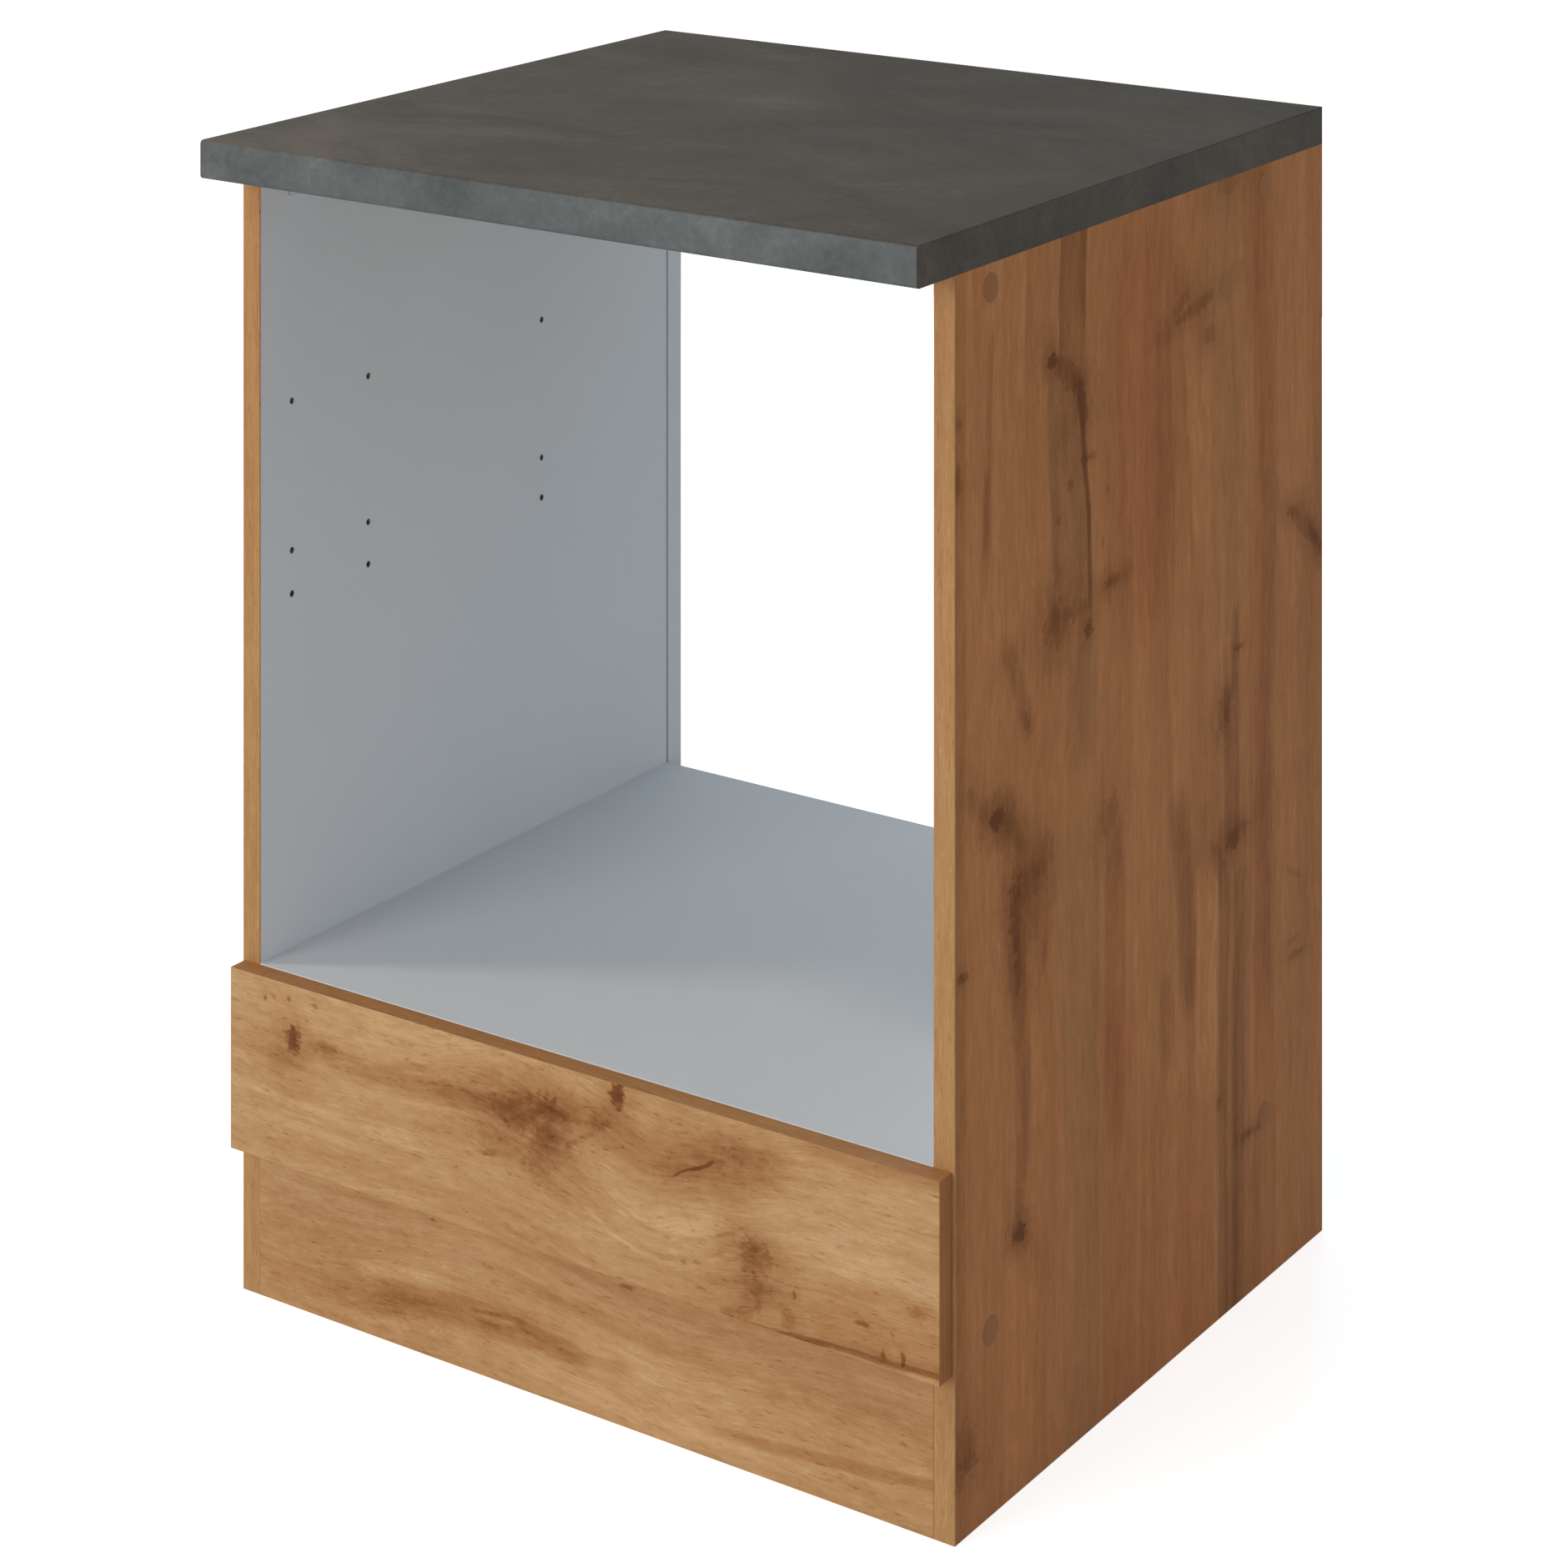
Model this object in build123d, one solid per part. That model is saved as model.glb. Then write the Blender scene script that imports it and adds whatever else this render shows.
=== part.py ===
from build123d import *
import os

# A base cabinet for a built-in oven, with a low drawer under the oven's niche.
# Sizes are in millimetres. The origin is on the floor, under the middle of the worktop.
# The front faces -Y and +Z is up.

# Carcass boards
UNIT_WIDTH = 600.0
SIDE_DEPTH = 552.0
CARCASS_HEIGHT = 822.0
BOARD = 16.0
PLINTH_HEIGHT = 113.5
DRAWER_SPACE = 96.5
BAND = 1.0
BAND_ROUND = 0.6

# Worktop: a chipboard core, a laminate bent over its front and a strip on each end
WORKTOP_THICKNESS = 28.0
WORKTOP_OVERHANG = 48.0
LAMINATE = 0.8
NOSE_RADIUS = 3.0
NOSE_RETURN = 25.0

# Back of the drawer space, in grooves that run the whole height of the sides
BACK_THICKNESS = 3.0
GROOVE_PLAY = 0.4
GROOVE_DEPTH = 8.0
GROOVE_FROM_REAR = 22.0
BACK_EDGE_PLAY = 0.5
BACK_BELOW_SHELF = 2.0
BACK_SCREW_SPREAD = 220.0

# Fixings through the sides, measured from the sides' front and rear edges
FRONT_FIXING_INSET = 47.0
REAR_FIXING_INSET = 98.5
HOLE_PLAY = 0.05
CUT_PAST = 1.0
FASTENER_SIDES = 6
HEAD_SINK = 0.3
CAP_RADIUS = 9.75
CAP_THICKNESS = 0.4

# Steel rails under the worktop
RAIL_WIDTH = 30.0
RAIL_STEEL = 1.5
RAIL_FRONT_LIP = 14.0
RAIL_REAR_LIP = 8.0
RAIL_TAB_DROP = 24.0
RAIL_BOLT_DROP = 16.0
RAIL_BOLT_RADIUS = 3.0
RAIL_COLLAR_RADIUS = 4.6
RAIL_COLLAR = 2.0
RAIL_SCREW_SPREAD = 200.0

# Row of blind holes on the inner face of each side
SYSTEM_HOLE_RADIUS = 2.5
SYSTEM_HOLE_DEPTH = 12.0
SYSTEM_FRONT_LINE = 37.0
SYSTEM_MIDDLE_LINE = 128.0
SYSTEM_REAR_LINE = 200.0
SYSTEM_LOWEST_HOLE = 503.5
SYSTEM_STEP = 32.0
SYSTEM_HIGHEST_HOLE = 646.0

# Cam fittings and dowels that hold the oven shelf
CAM_RADIUS = 7.5
CAM_DEPTH = 12.5
CAM_INSET = 34.0
CAM_FRONT_INSET = 60.0
CAM_REAR_INSET = 82.0
CAM_BOLT_RADIUS = 3.0
CAM_BOLT_HEAD_RADIUS = 3.5
CAM_BOLT_BITE = 11.0
CAM_SLOT = 1.4
DOWEL_RADIUS = 4.0
DOWEL_LENGTH = 30.0
DOWEL_BITE = 11.0
DOWEL_FROM_CAM = 32.0

# Angle brackets behind the plinth
BRACKET_LEG = 30.0
BRACKET_WIDTH = 25.0
BRACKET_STEEL = 1.5
BRACKET_HOLE_REACH = 19.0

# Roller runners. Each is a channel on the cabinet side and an angle under the drawer side.
RUNNER_SPACE = 12.5
RUNNER_LENGTH = 450.0
RUNNER_SETBACK = 2.0
RUNNER_LIFT = 12.0
RUNNER_STEEL = 1.2
CHANNEL_HEIGHT = 27.0
CHANNEL_REACH = 10.6
TRACK_LIP = 3.2
TOP_FLANGE_SETBACK = 50.0
FLANGE_HEADROOM = 1.9
FLANGE_OVERLAP = 8.5
DRAWER_LEG = 13.0
RUNNER_SCREW_INSET = 37.0
RUNNER_SCREW_MIDDLE = 224.0
RUNNER_SCREW_REAR = 384.0
STOP_HEIGHT = 5.0

# Rollers and their rivets
MOVING_GAP = 0.3
FRONT_ROLLER_RADIUS = 10.0
FRONT_ROLLER_INSET = 14.0
REAR_ROLLER_INSET = 16.0
ROLLER_WIDTH = 6.4
ROLLER_HUB = 1.8
AXLE_RADIUS = 2.5
AXLE_PLAY = 0.1
RIVET_HEAD_RADIUS = 4.0
RIVET_HEAD = 0.8

# Drawer
DRAWER_TRAVEL = 340.0
DRAWER_LIFT = 3.0
DRAWER_BOX_HEIGHT = 68.0
DRAWER_BOX_BOARD = 16.0
DRAWER_BOTTOM = 3.0
DRAWER_BOTTOM_LIFT = 10.0
DRAWER_GROOVE_DEPTH = 7.0
DRAWER_GROOVE_PLAY = 0.2
FRONT_HEIGHT = 132.0
FRONT_REVEAL = 2.0
FRONT_BELOW_SHELF = 0.5
FRONT_SCREW_SPREAD = 200.0
CORNER_SCREW_LOW = 28.0
CORNER_SCREW_HIGH = 54.0
FLOOR_SCREW_SPREAD = 180.0

# Screws: head radius, head height, cone height, shank radius and length under the head
CARCASS_SCREW = (5.0, 1.0, 2.0, 3.4, 47.0)
CORNER_SCREW = (4.5, 0.8, 1.8, 2.5, 38.0)
FRONT_SCREW = (4.0, 2.4, 0.0, 2.0, 27.0)
WORKTOP_SCREW = (4.0, 2.4, 0.0, 2.0, 18.0)
PANEL_SCREW = (3.5, 1.8, 0.0, 1.6, 15.0)
BRACKET_SCREW = (3.6, 2.0, 0.0, 1.8, 13.0)
RUNNER_SCREW = (3.6, 0.0, 1.8, 1.8, 12.0)
RAIL_BOLT_HEAD = (6.0, 0.6, 3.0)

# Planes and heights that follow from the sizes above
OUTER = UNIT_WIDTH / 2
INNER = OUTER - BOARD
REAR = (SIDE_DEPTH + WORKTOP_OVERHANG) / 2
FRONT = REAR - SIDE_DEPTH
BOARD_REAR = REAR - GROOVE_FROM_REAR
BOTTOM_TOP = PLINTH_HEIGHT + BOARD
SHELF_UNDERSIDE = BOTTOM_TOP + DRAWER_SPACE
SHELF_TOP = SHELF_UNDERSIDE + BOARD
FIXING_LINES = (FRONT + FRONT_FIXING_INSET, REAR - REAR_FIXING_INSET)
CAM_LINES = (FRONT + CAM_FRONT_INSET, REAR - CAM_REAR_INSET)
DOWEL_LINES = (CAM_LINES[0] + DOWEL_FROM_CAM, CAM_LINES[1] - DOWEL_FROM_CAM)
SYSTEM_LINES = (FRONT + SYSTEM_FRONT_LINE, FRONT + SYSTEM_MIDDLE_LINE, REAR - SYSTEM_REAR_LINE)
SYSTEM_HEIGHTS = (SYSTEM_LOWEST_HOLE, SYSTEM_LOWEST_HOLE + SYSTEM_STEP, SYSTEM_HIGHEST_HOLE)
RAIL_BOLT_HEIGHT = CARCASS_HEIGHT - RAIL_BOLT_DROP
RAIL_BOLT_LENGTH = BOARD - HEAD_SINK - RAIL_BOLT_HEAD[1] + RAIL_STEEL + RAIL_COLLAR
RAIL_BOLT = (*RAIL_BOLT_HEAD, RAIL_BOLT_RADIUS, RAIL_BOLT_LENGTH)

CHANNEL_BOTTOM = BOTTOM_TOP + RUNNER_LIFT
CHANNEL_FRONT = FRONT + RUNNER_SETBACK
TRACK = CHANNEL_BOTTOM + RUNNER_STEEL
RUNNER_SCREW_HEIGHT = CHANNEL_BOTTOM + CHANNEL_HEIGHT / 2
REAR_ROLLER_RADIUS = (CHANNEL_HEIGHT - 2 * RUNNER_STEEL) / 2 - MOVING_GAP
FLANGE_TOP = CHANNEL_BOTTOM + CHANNEL_HEIGHT - RUNNER_STEEL - FLANGE_HEADROOM
FLANGE_UNDERSIDE = FLANGE_TOP - RUNNER_STEEL

DRAWER_BOX_FRONT = FRONT - MOVING_GAP
DRAWER_BOX_REAR = DRAWER_BOX_FRONT + RUNNER_LENGTH
DRAWER_BOX_BOTTOM = CHANNEL_BOTTOM + DRAWER_LIFT
DRAWER_OUTER = INNER - RUNNER_SPACE
DRAWER_INNER = DRAWER_OUTER - DRAWER_BOX_BOARD
DRAWER_FLOOR = DRAWER_BOX_BOTTOM + DRAWER_BOTTOM_LIFT
FRONT_TOP = SHELF_TOP - FRONT_BELOW_SHELF
FRONT_FACE = DRAWER_BOX_FRONT - BOARD

FRONT_AXLE_Y = CHANNEL_FRONT + FRONT_ROLLER_INSET
FRONT_AXLE_Z = FLANGE_UNDERSIDE - MOVING_GAP - FRONT_ROLLER_RADIUS
REAR_AXLE_Y = DRAWER_BOX_REAR - REAR_ROLLER_INSET
REAR_AXLE_Z = TRACK + MOVING_GAP + REAR_ROLLER_RADIUS
STOP_FACE_Y = REAR_AXLE_Y - DRAWER_TRAVEL - REAR_ROLLER_RADIUS - MOVING_GAP


def block(x, y, z):
    """A box between the low and high ends of each axis."""
    centre = [(low + high) / 2 for low, high in (x, y, z)]
    return Pos(*centre) * Box(*[abs(high - low) for low, high in (x, y, z)])


def aim(solid, point, direction):
    """Put a solid that is modelled along +Z at a point, turned to a direction."""
    return Plane(origin=point, z_dir=direction).location * solid


def rod(radius, length, point, direction):
    """A round rod that starts at a point and runs along a direction."""
    base = Cylinder(radius, length, align=(Align.CENTER, Align.CENTER, Align.MIN))
    return aim(base, point, direction)


def turned(points):
    """A solid of revolution about Z from (radius, height) points."""
    section = make_face(Polyline([(r, 0, z) for r, z in points], close=True))
    return revolve(section, Axis.Z)


def faceted(rings):
    """A small fastener along +Z through (radius, height) rings, with few sides to stay light."""
    body = Part()
    for (radius, low), (next_radius, high) in zip(rings, rings[1:]):
        foot = Pos(0, 0, low) * RegularPolygon(radius, FASTENER_SIDES)
        top = Pos(0, 0, high) * RegularPolygon(next_radius, FASTENER_SIDES)
        if high > low and radius == next_radius:
            body += extrude(foot, high - low)
        elif high > low:
            body += loft([foot.face(), top.face()], ruled=True)
    return body


def screw(size, play=0.0):
    """A screw along +Z with its face or its washer side at 0, and its head behind it."""
    head, cap, cone, shank, length = size
    head += play
    shank += play
    crown = head if cone else head - cap / 2
    return faceted([(crown, -cap), (head, 0), (shank, cone), (shank, length)])


def sunk_screw(size, play=0.0):
    """A flat-headed screw whose flat face lies at 0."""
    return Pos(0, 0, size[1]) * screw(size, play)


def sunk_hole(size, clear=CUT_PAST):
    """The hole for a flat-headed screw, open past the surface above its head."""
    head = size[0] + HOLE_PLAY
    return sunk_screw(size, HOLE_PLAY) + faceted([(head, -clear), (head, 0)])


def pilot(radius, length, point, direction):
    """The straight hole for a fastener's shank, a little wider than the shank."""
    wide = radius + HOLE_PLAY
    return aim(faceted([(wide, 0), (wide, length)]), point, direction)


def mirrored(make):
    """The right and the left one of a pair, from a function of the side's sign."""
    return {"right": make(1), "left": make(-1)}


def soften(solid, axis, radius=BAND_ROUND):
    """Round the edges of a strip that run along one axis and face forward."""
    edges = solid.edges().filter_by(axis).group_by(Axis.Y)[0]
    return fillet(edges, radius)


def worktop_core():
    """The chipboard core, which the laminate's nose fits."""
    x = OUTER - LAMINATE
    front = FRONT - WORKTOP_OVERHANG
    low = CARCASS_HEIGHT
    high = low + WORKTOP_THICKNESS
    plate = block((-x, x), (front + LAMINATE, REAR), (low, high - LAMINATE))
    step = block((-x, x), (front, front + NOSE_RETURN), (low, low + LAMINATE))
    core = plate - step
    nose = core.edges().filter_by(Axis.X).group_by(Axis.Y)[0]
    core = fillet(nose, NOSE_RADIUS - LAMINATE)
    return core - [aim(screw(WORKTOP_SCREW, HOLE_PLAY), *place) for place in worktop_screw_places()]


def worktop_laminate():
    """The laminate over the top, round the front and back under it for a short way."""
    x = OUTER - LAMINATE
    front = FRONT - WORKTOP_OVERHANG
    low = CARCASS_HEIGHT
    high = low + WORKTOP_THICKNESS
    shell = block((-x, x), (front, REAR), (low, high))
    nose = shell.edges().filter_by(Axis.X).group_by(Axis.Y)[0]
    shell = fillet(nose, NOSE_RADIUS)
    bare = block((-x, x), (front + NOSE_RETURN, REAR), (low, high - LAMINATE))
    return shell - worktop_core() - bare


def worktop_end_strip(side):
    """The thin strip glued on one end of the worktop."""
    x = sorted((side * (OUTER - LAMINATE), side * OUTER))
    z = (CARCASS_HEIGHT, CARCASS_HEIGHT + WORKTOP_THICKNESS)
    strip = block(x, (FRONT - WORKTOP_OVERHANG, REAR), z)
    nose = strip.edges().filter_by(Axis.X).group_by(Axis.Y)[0]
    return fillet(nose, NOSE_RADIUS)


def side_board(side):
    """One side of the carcass, with all that is drilled and cut in it."""
    board = block(sorted((side * INNER, side * OUTER)), (FRONT + BAND, REAR), (0, CARCASS_HEIGHT))
    inward = (-side, 0, 0)
    outward = (side, 0, 0)
    groove_x = sorted((side * (INNER - CUT_PAST), side * (INNER + GROOVE_DEPTH)))
    groove_y = (BOARD_REAR, BOARD_REAR + BACK_THICKNESS + GROOVE_PLAY)
    cuts = [block(groove_x, groove_y, (-CUT_PAST, CARCASS_HEIGHT + CUT_PAST))]
    for y in SYSTEM_LINES:
        for z in SYSTEM_HEIGHTS:
            depth = SYSTEM_HOLE_DEPTH
            cuts.append(rod(SYSTEM_HOLE_RADIUS, depth, (side * INNER, y, z), outward))
    for y in FIXING_LINES:
        head = side * (OUTER - HEAD_SINK)
        cuts.append(aim(sunk_hole(CARCASS_SCREW), (head, y, PLINTH_HEIGHT + BOARD / 2), inward))
        cuts.append(aim(sunk_hole(RAIL_BOLT), (head, y, RAIL_BOLT_HEIGHT), inward))
    shelf_middle = SHELF_UNDERSIDE + BOARD / 2
    for y in CAM_LINES:
        cuts.append(pilot(CAM_BOLT_RADIUS, CAM_BOLT_BITE, (side * INNER, y, shelf_middle), outward))
    for y in DOWEL_LINES:
        cuts.append(pilot(DOWEL_RADIUS, DOWEL_BITE, (side * INNER, y, shelf_middle), outward))
    for y in runner_screw_lines():
        point = (side * (INNER - RUNNER_STEEL), y, RUNNER_SCREW_HEIGHT)
        cuts.append(aim(sunk_hole(RUNNER_SCREW), point, outward))
    cuts.append(aim(screw(BRACKET_SCREW, HOLE_PLAY), *bracket_screw_places(side)[1]))
    return board - cuts


def side_front_band(side):
    """The band on the front edge of one side."""
    x = sorted((side * INNER, side * OUTER))
    return soften(block(x, (FRONT, FRONT + BAND), (0, CARCASS_HEIGHT)), Axis.Z)


def cross_board(underside):
    """A board that lies between the sides, from the band on its front to the back."""
    z = (underside, underside + BOARD)
    board = block((-INNER, INNER), (FRONT + BAND, BOARD_REAR), z)
    cuts = []
    for x in (-BACK_SCREW_SPREAD, 0, BACK_SCREW_SPREAD):
        point = (x, BOARD_REAR + BACK_THICKNESS, underside + BOARD / 2)
        cuts.append(aim(screw(PANEL_SCREW, HOLE_PLAY), point, (0, -1, 0)))
    return board - cuts


def cross_band(underside):
    """The band on the front edge of a board between the sides."""
    z = (underside, underside + BOARD)
    return soften(block((-INNER, INNER), (FRONT, FRONT + BAND), z), Axis.X)


def bottom_board():
    """The board over the plinth, with the holes for the carcass screws."""
    board = cross_board(PLINTH_HEIGHT)
    return board - [aim(screw(CARCASS_SCREW, HOLE_PLAY), *place) for place in carcass_screw_places()]


def oven_shelf():
    """The shelf that the oven stands on, drilled for its cams, bolts and dowels."""
    board = cross_board(SHELF_UNDERSIDE)
    middle = SHELF_UNDERSIDE + BOARD / 2
    cuts = []
    for side in (-1, 1):
        inward = (-side, 0, 0)
        for y in CAM_LINES:
            seat = (side * (INNER - CAM_INSET), y, SHELF_UNDERSIDE)
            cuts.append(rod(CAM_RADIUS + HOLE_PLAY, CAM_DEPTH, seat, (0, 0, 1)))
            cuts.append(pilot(CAM_BOLT_HEAD_RADIUS, CAM_INSET, (side * INNER, y, middle), inward))
        for y in DOWEL_LINES:
            length = DOWEL_LENGTH - DOWEL_BITE + HEAD_SINK
            cuts.append(pilot(DOWEL_RADIUS, length, (side * INNER, y, middle), inward))
    return board - cuts


def plinth_board():
    """The upright board between the sides, below the bottom board."""
    board = block((-INNER, INNER), (FRONT, FRONT + BOARD), (0, PLINTH_HEIGHT))
    places = [bracket_screw_places(side)[0] for side in (-1, 1)]
    return board - [aim(screw(BRACKET_SCREW, HOLE_PLAY), *place) for place in places]


def lower_back_panel():
    """The thin back behind the drawer space, held in the sides' grooves."""
    x = INNER + GROOVE_DEPTH - BACK_EDGE_PLAY
    y = (BOARD_REAR, BOARD_REAR + BACK_THICKNESS)
    panel = block((-x, x), y, (PLINTH_HEIGHT, SHELF_TOP - BACK_BELOW_SHELF))
    return panel - [aim(screw(PANEL_SCREW, HOLE_PLAY), *place) for place in back_screw_places()]


def back_screw_places():
    """Where the screws go through the back into the two boards in front of it."""
    heights = (PLINTH_HEIGHT + BOARD / 2, SHELF_UNDERSIDE + BOARD / 2)
    spread = (-BACK_SCREW_SPREAD, 0, BACK_SCREW_SPREAD)
    y = BOARD_REAR + BACK_THICKNESS
    return [((x, y, z), (0, -1, 0)) for z in heights for x in spread]


def carcass_screw_places():
    """Where the long screws go through the sides into the bottom board."""
    sink = OUTER - HEAD_SINK - CARCASS_SCREW[1]
    z = PLINTH_HEIGHT + BOARD / 2
    return [((side * sink, y, z), (-side, 0, 0)) for side in (-1, 1) for y in FIXING_LINES]


def rail_bolts():
    """The bolts through the sides, which end flush with the collars of the rails' tabs."""
    x = OUTER - HEAD_SINK
    bolts = []
    for side in (-1, 1):
        for y in FIXING_LINES:
            point = (side * x, y, RAIL_BOLT_HEIGHT)
            bolts.append(aim(sunk_screw(RAIL_BOLT), point, (-side, 0, 0)))
    return bolts


def top_rail(y):
    """A folded steel rail across the top, with a tab at each end."""
    top = CARCASS_HEIGHT
    edge = (y - RAIL_WIDTH / 2, y + RAIL_WIDTH / 2)
    skin = top - RAIL_STEEL
    rail = block((-INNER, INNER), edge, (skin, top))
    rail += block((-INNER, INNER), (edge[0], edge[0] + RAIL_STEEL), (top - RAIL_FRONT_LIP, top))
    rail += block((-INNER, INNER), (edge[1] - RAIL_STEEL, edge[1]), (top - RAIL_REAR_LIP, top))
    cuts = []
    for side in (-1, 1):
        x = sorted((side * (INNER - RAIL_STEEL), side * INNER))
        tab = block(x, edge, (top - RAIL_TAB_DROP, top))
        corners = tab.edges().filter_by(Axis.X).group_by(Axis.Z)[0]
        rail += fillet(corners, RAIL_STEEL * 2)
        face = (side * (INNER - RAIL_STEEL), y, RAIL_BOLT_HEIGHT)
        collar = faceted([(RAIL_COLLAR_RADIUS, 0), (RAIL_COLLAR_RADIUS, RAIL_COLLAR)])
        rail += aim(collar, face, (-side, 0, 0))
        length = RAIL_STEEL + RAIL_COLLAR
        mouth = (side * INNER, y, RAIL_BOLT_HEIGHT)
        cuts.append(pilot(RAIL_BOLT_RADIUS, length, mouth, (-side, 0, 0)))
        cuts.append(pilot(WORKTOP_SCREW[3], RAIL_STEEL, (side * RAIL_SCREW_SPREAD, y, skin), (0, 0, 1)))
    return rail - cuts


def worktop_screw_places():
    """Where the screws go up through the rails into the worktop."""
    z = CARCASS_HEIGHT - RAIL_STEEL
    spread = (-RAIL_SCREW_SPREAD, RAIL_SCREW_SPREAD)
    return [((x, y, z), (0, 0, 1)) for y in FIXING_LINES for x in spread]


def cover_caps(side):
    """The flat stick-on caps over the four screw heads of one side."""
    heights = (PLINTH_HEIGHT + BOARD / 2, RAIL_BOLT_HEIGHT)
    caps = []
    for y in FIXING_LINES:
        for z in heights:
            caps.append(rod(CAP_RADIUS, CAP_THICKNESS, (side * OUTER, y, z), (side, 0, 0)))
    return caps


def shelf_cams():
    """The round cams in the shelf's underside, open to the bolts they draw in."""
    cams = []
    for side in (-1, 1):
        for y in CAM_LINES:
            seat = (side * (INNER - CAM_INSET), y, SHELF_UNDERSIDE)
            middle = (seat[0], y, SHELF_UNDERSIDE + BOARD / 2)
            cam = rod(CAM_RADIUS, CAM_DEPTH, seat, (0, 0, 1))
            cam -= pilot(CAM_BOLT_HEAD_RADIUS, CAM_INSET, middle, (side, 0, 0))
            slot_x = (seat[0] - CAM_RADIUS / 2, seat[0] + CAM_RADIUS / 2)
            slot_y = (y - CAM_SLOT / 2, y + CAM_SLOT / 2)
            cam -= block(slot_x, slot_y, (SHELF_UNDERSIDE, SHELF_UNDERSIDE + CAM_SLOT))
            cams.append(cam)
    return cams


def shelf_cam_bolts():
    """The bolts that stand in the sides and reach into the cams."""
    middle = SHELF_UNDERSIDE + BOARD / 2
    reach = CAM_BOLT_BITE + CAM_INSET - HOLE_PLAY
    collar = CAM_BOLT_BITE + RUNNER_STEEL
    bolts = []
    for side in (-1, 1):
        for y in CAM_LINES:
            bolt = faceted([
                (CAM_BOLT_RADIUS, 0), (CAM_BOLT_RADIUS, CAM_BOLT_BITE),
                (CAM_BOLT_HEAD_RADIUS, CAM_BOLT_BITE), (CAM_BOLT_HEAD_RADIUS, collar),
                (CAM_BOLT_RADIUS, collar), (CAM_BOLT_RADIUS, reach),
            ])
            foot = (side * (INNER + CAM_BOLT_BITE), y, middle)
            bolts.append(aim(bolt, foot, (-side, 0, 0)))
    return bolts


def shelf_dowels():
    """The wooden dowels between the sides and the oven shelf."""
    middle = SHELF_UNDERSIDE + BOARD / 2
    bevel = DOWEL_RADIUS / 4
    rings = [
        (DOWEL_RADIUS - bevel, 0), (DOWEL_RADIUS, bevel),
        (DOWEL_RADIUS, DOWEL_LENGTH - bevel), (DOWEL_RADIUS - bevel, DOWEL_LENGTH),
    ]
    dowels = []
    for side in (-1, 1):
        for y in DOWEL_LINES:
            foot = (side * (INNER + DOWEL_BITE), y, middle)
            dowels.append(aim(faceted(rings), foot, (-side, 0, 0)))
    return dowels


def plinth_bracket(side):
    """The angle bracket in the corner between the plinth and one side."""
    z = (PLINTH_HEIGHT / 2 - BRACKET_WIDTH / 2, PLINTH_HEIGHT / 2 + BRACKET_WIDTH / 2)
    back = FRONT + BOARD
    wide = sorted((side * (INNER - BRACKET_LEG), side * INNER))
    thin = sorted((side * (INNER - BRACKET_STEEL), side * INNER))
    bracket = block(wide, (back, back + BRACKET_STEEL), z)
    bracket += block(thin, (back, back + BRACKET_LEG), z)
    return bracket - [
        aim(screw(BRACKET_SCREW, HOLE_PLAY), *place) for place in bracket_screw_places(side)
    ]


def bracket_screw_places(side):
    """Where one plinth bracket's screws go: the first into the plinth, the second into the side."""
    back = FRONT + BOARD
    z = PLINTH_HEIGHT / 2
    on_plinth = (side * (INNER - BRACKET_HOLE_REACH), back + BRACKET_STEEL, z)
    on_side = (side * (INNER - BRACKET_STEEL), back + BRACKET_HOLE_REACH, z)
    return [(on_plinth, (0, -1, 0)), (on_side, (side, 0, 0))]


def runner_screw_lines():
    """Where the channel's screws lie along the depth."""
    first = FRONT + RUNNER_SCREW_INSET
    return [first, first + RUNNER_SCREW_MIDDLE, first + RUNNER_SCREW_REAR]


def section(side, points, start, end):
    """A folded profile, given as (distance from the cabinet's side, height), along Y."""
    outline = [(side * (INNER - inset), start, z) for inset, z in points]
    return extrude(make_face(Polyline(outline, close=True)), end - start, dir=(0, 1, 0))


def cabinet_runner(side):
    """The channel on the cabinet's side: web, track with its lip, top flange and stop."""
    low = CHANNEL_BOTTOM
    high = low + CHANNEL_HEIGHT
    sheet = RUNNER_STEEL
    rear = CHANNEL_FRONT + RUNNER_LENGTH
    web_and_track = [
        (0, low), (CHANNEL_REACH, low), (CHANNEL_REACH, low + TRACK_LIP),
        (CHANNEL_REACH - sheet, low + TRACK_LIP), (CHANNEL_REACH - sheet, low + sheet),
        (sheet, low + sheet), (sheet, high), (0, high),
    ]
    top_flange = [
        (sheet, high - sheet), (CHANNEL_REACH, high - sheet), (CHANNEL_REACH, high), (sheet, high),
    ]
    runner = section(side, web_and_track, CHANNEL_FRONT, rear)
    runner += section(side, top_flange, CHANNEL_FRONT + TOP_FLANGE_SETBACK, rear)
    inset = sorted(side * (INNER - s) for s in (sheet, CHANNEL_REACH - sheet))
    runner += block(inset, (STOP_FACE_Y - sheet, STOP_FACE_Y), (TRACK, TRACK + STOP_HEIGHT))
    outward = (side, 0, 0)
    cuts = []
    for y in runner_screw_lines():
        point = (side * (INNER - sheet), y, RUNNER_SCREW_HEIGHT)
        cuts.append(aim(sunk_hole(RUNNER_SCREW), point, outward))
    axle = (side * (INNER - sheet), FRONT_AXLE_Y, FRONT_AXLE_Z)
    cuts.append(rod(AXLE_RADIUS + HOLE_PLAY, sheet, axle, outward))
    return runner - cuts


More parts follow.
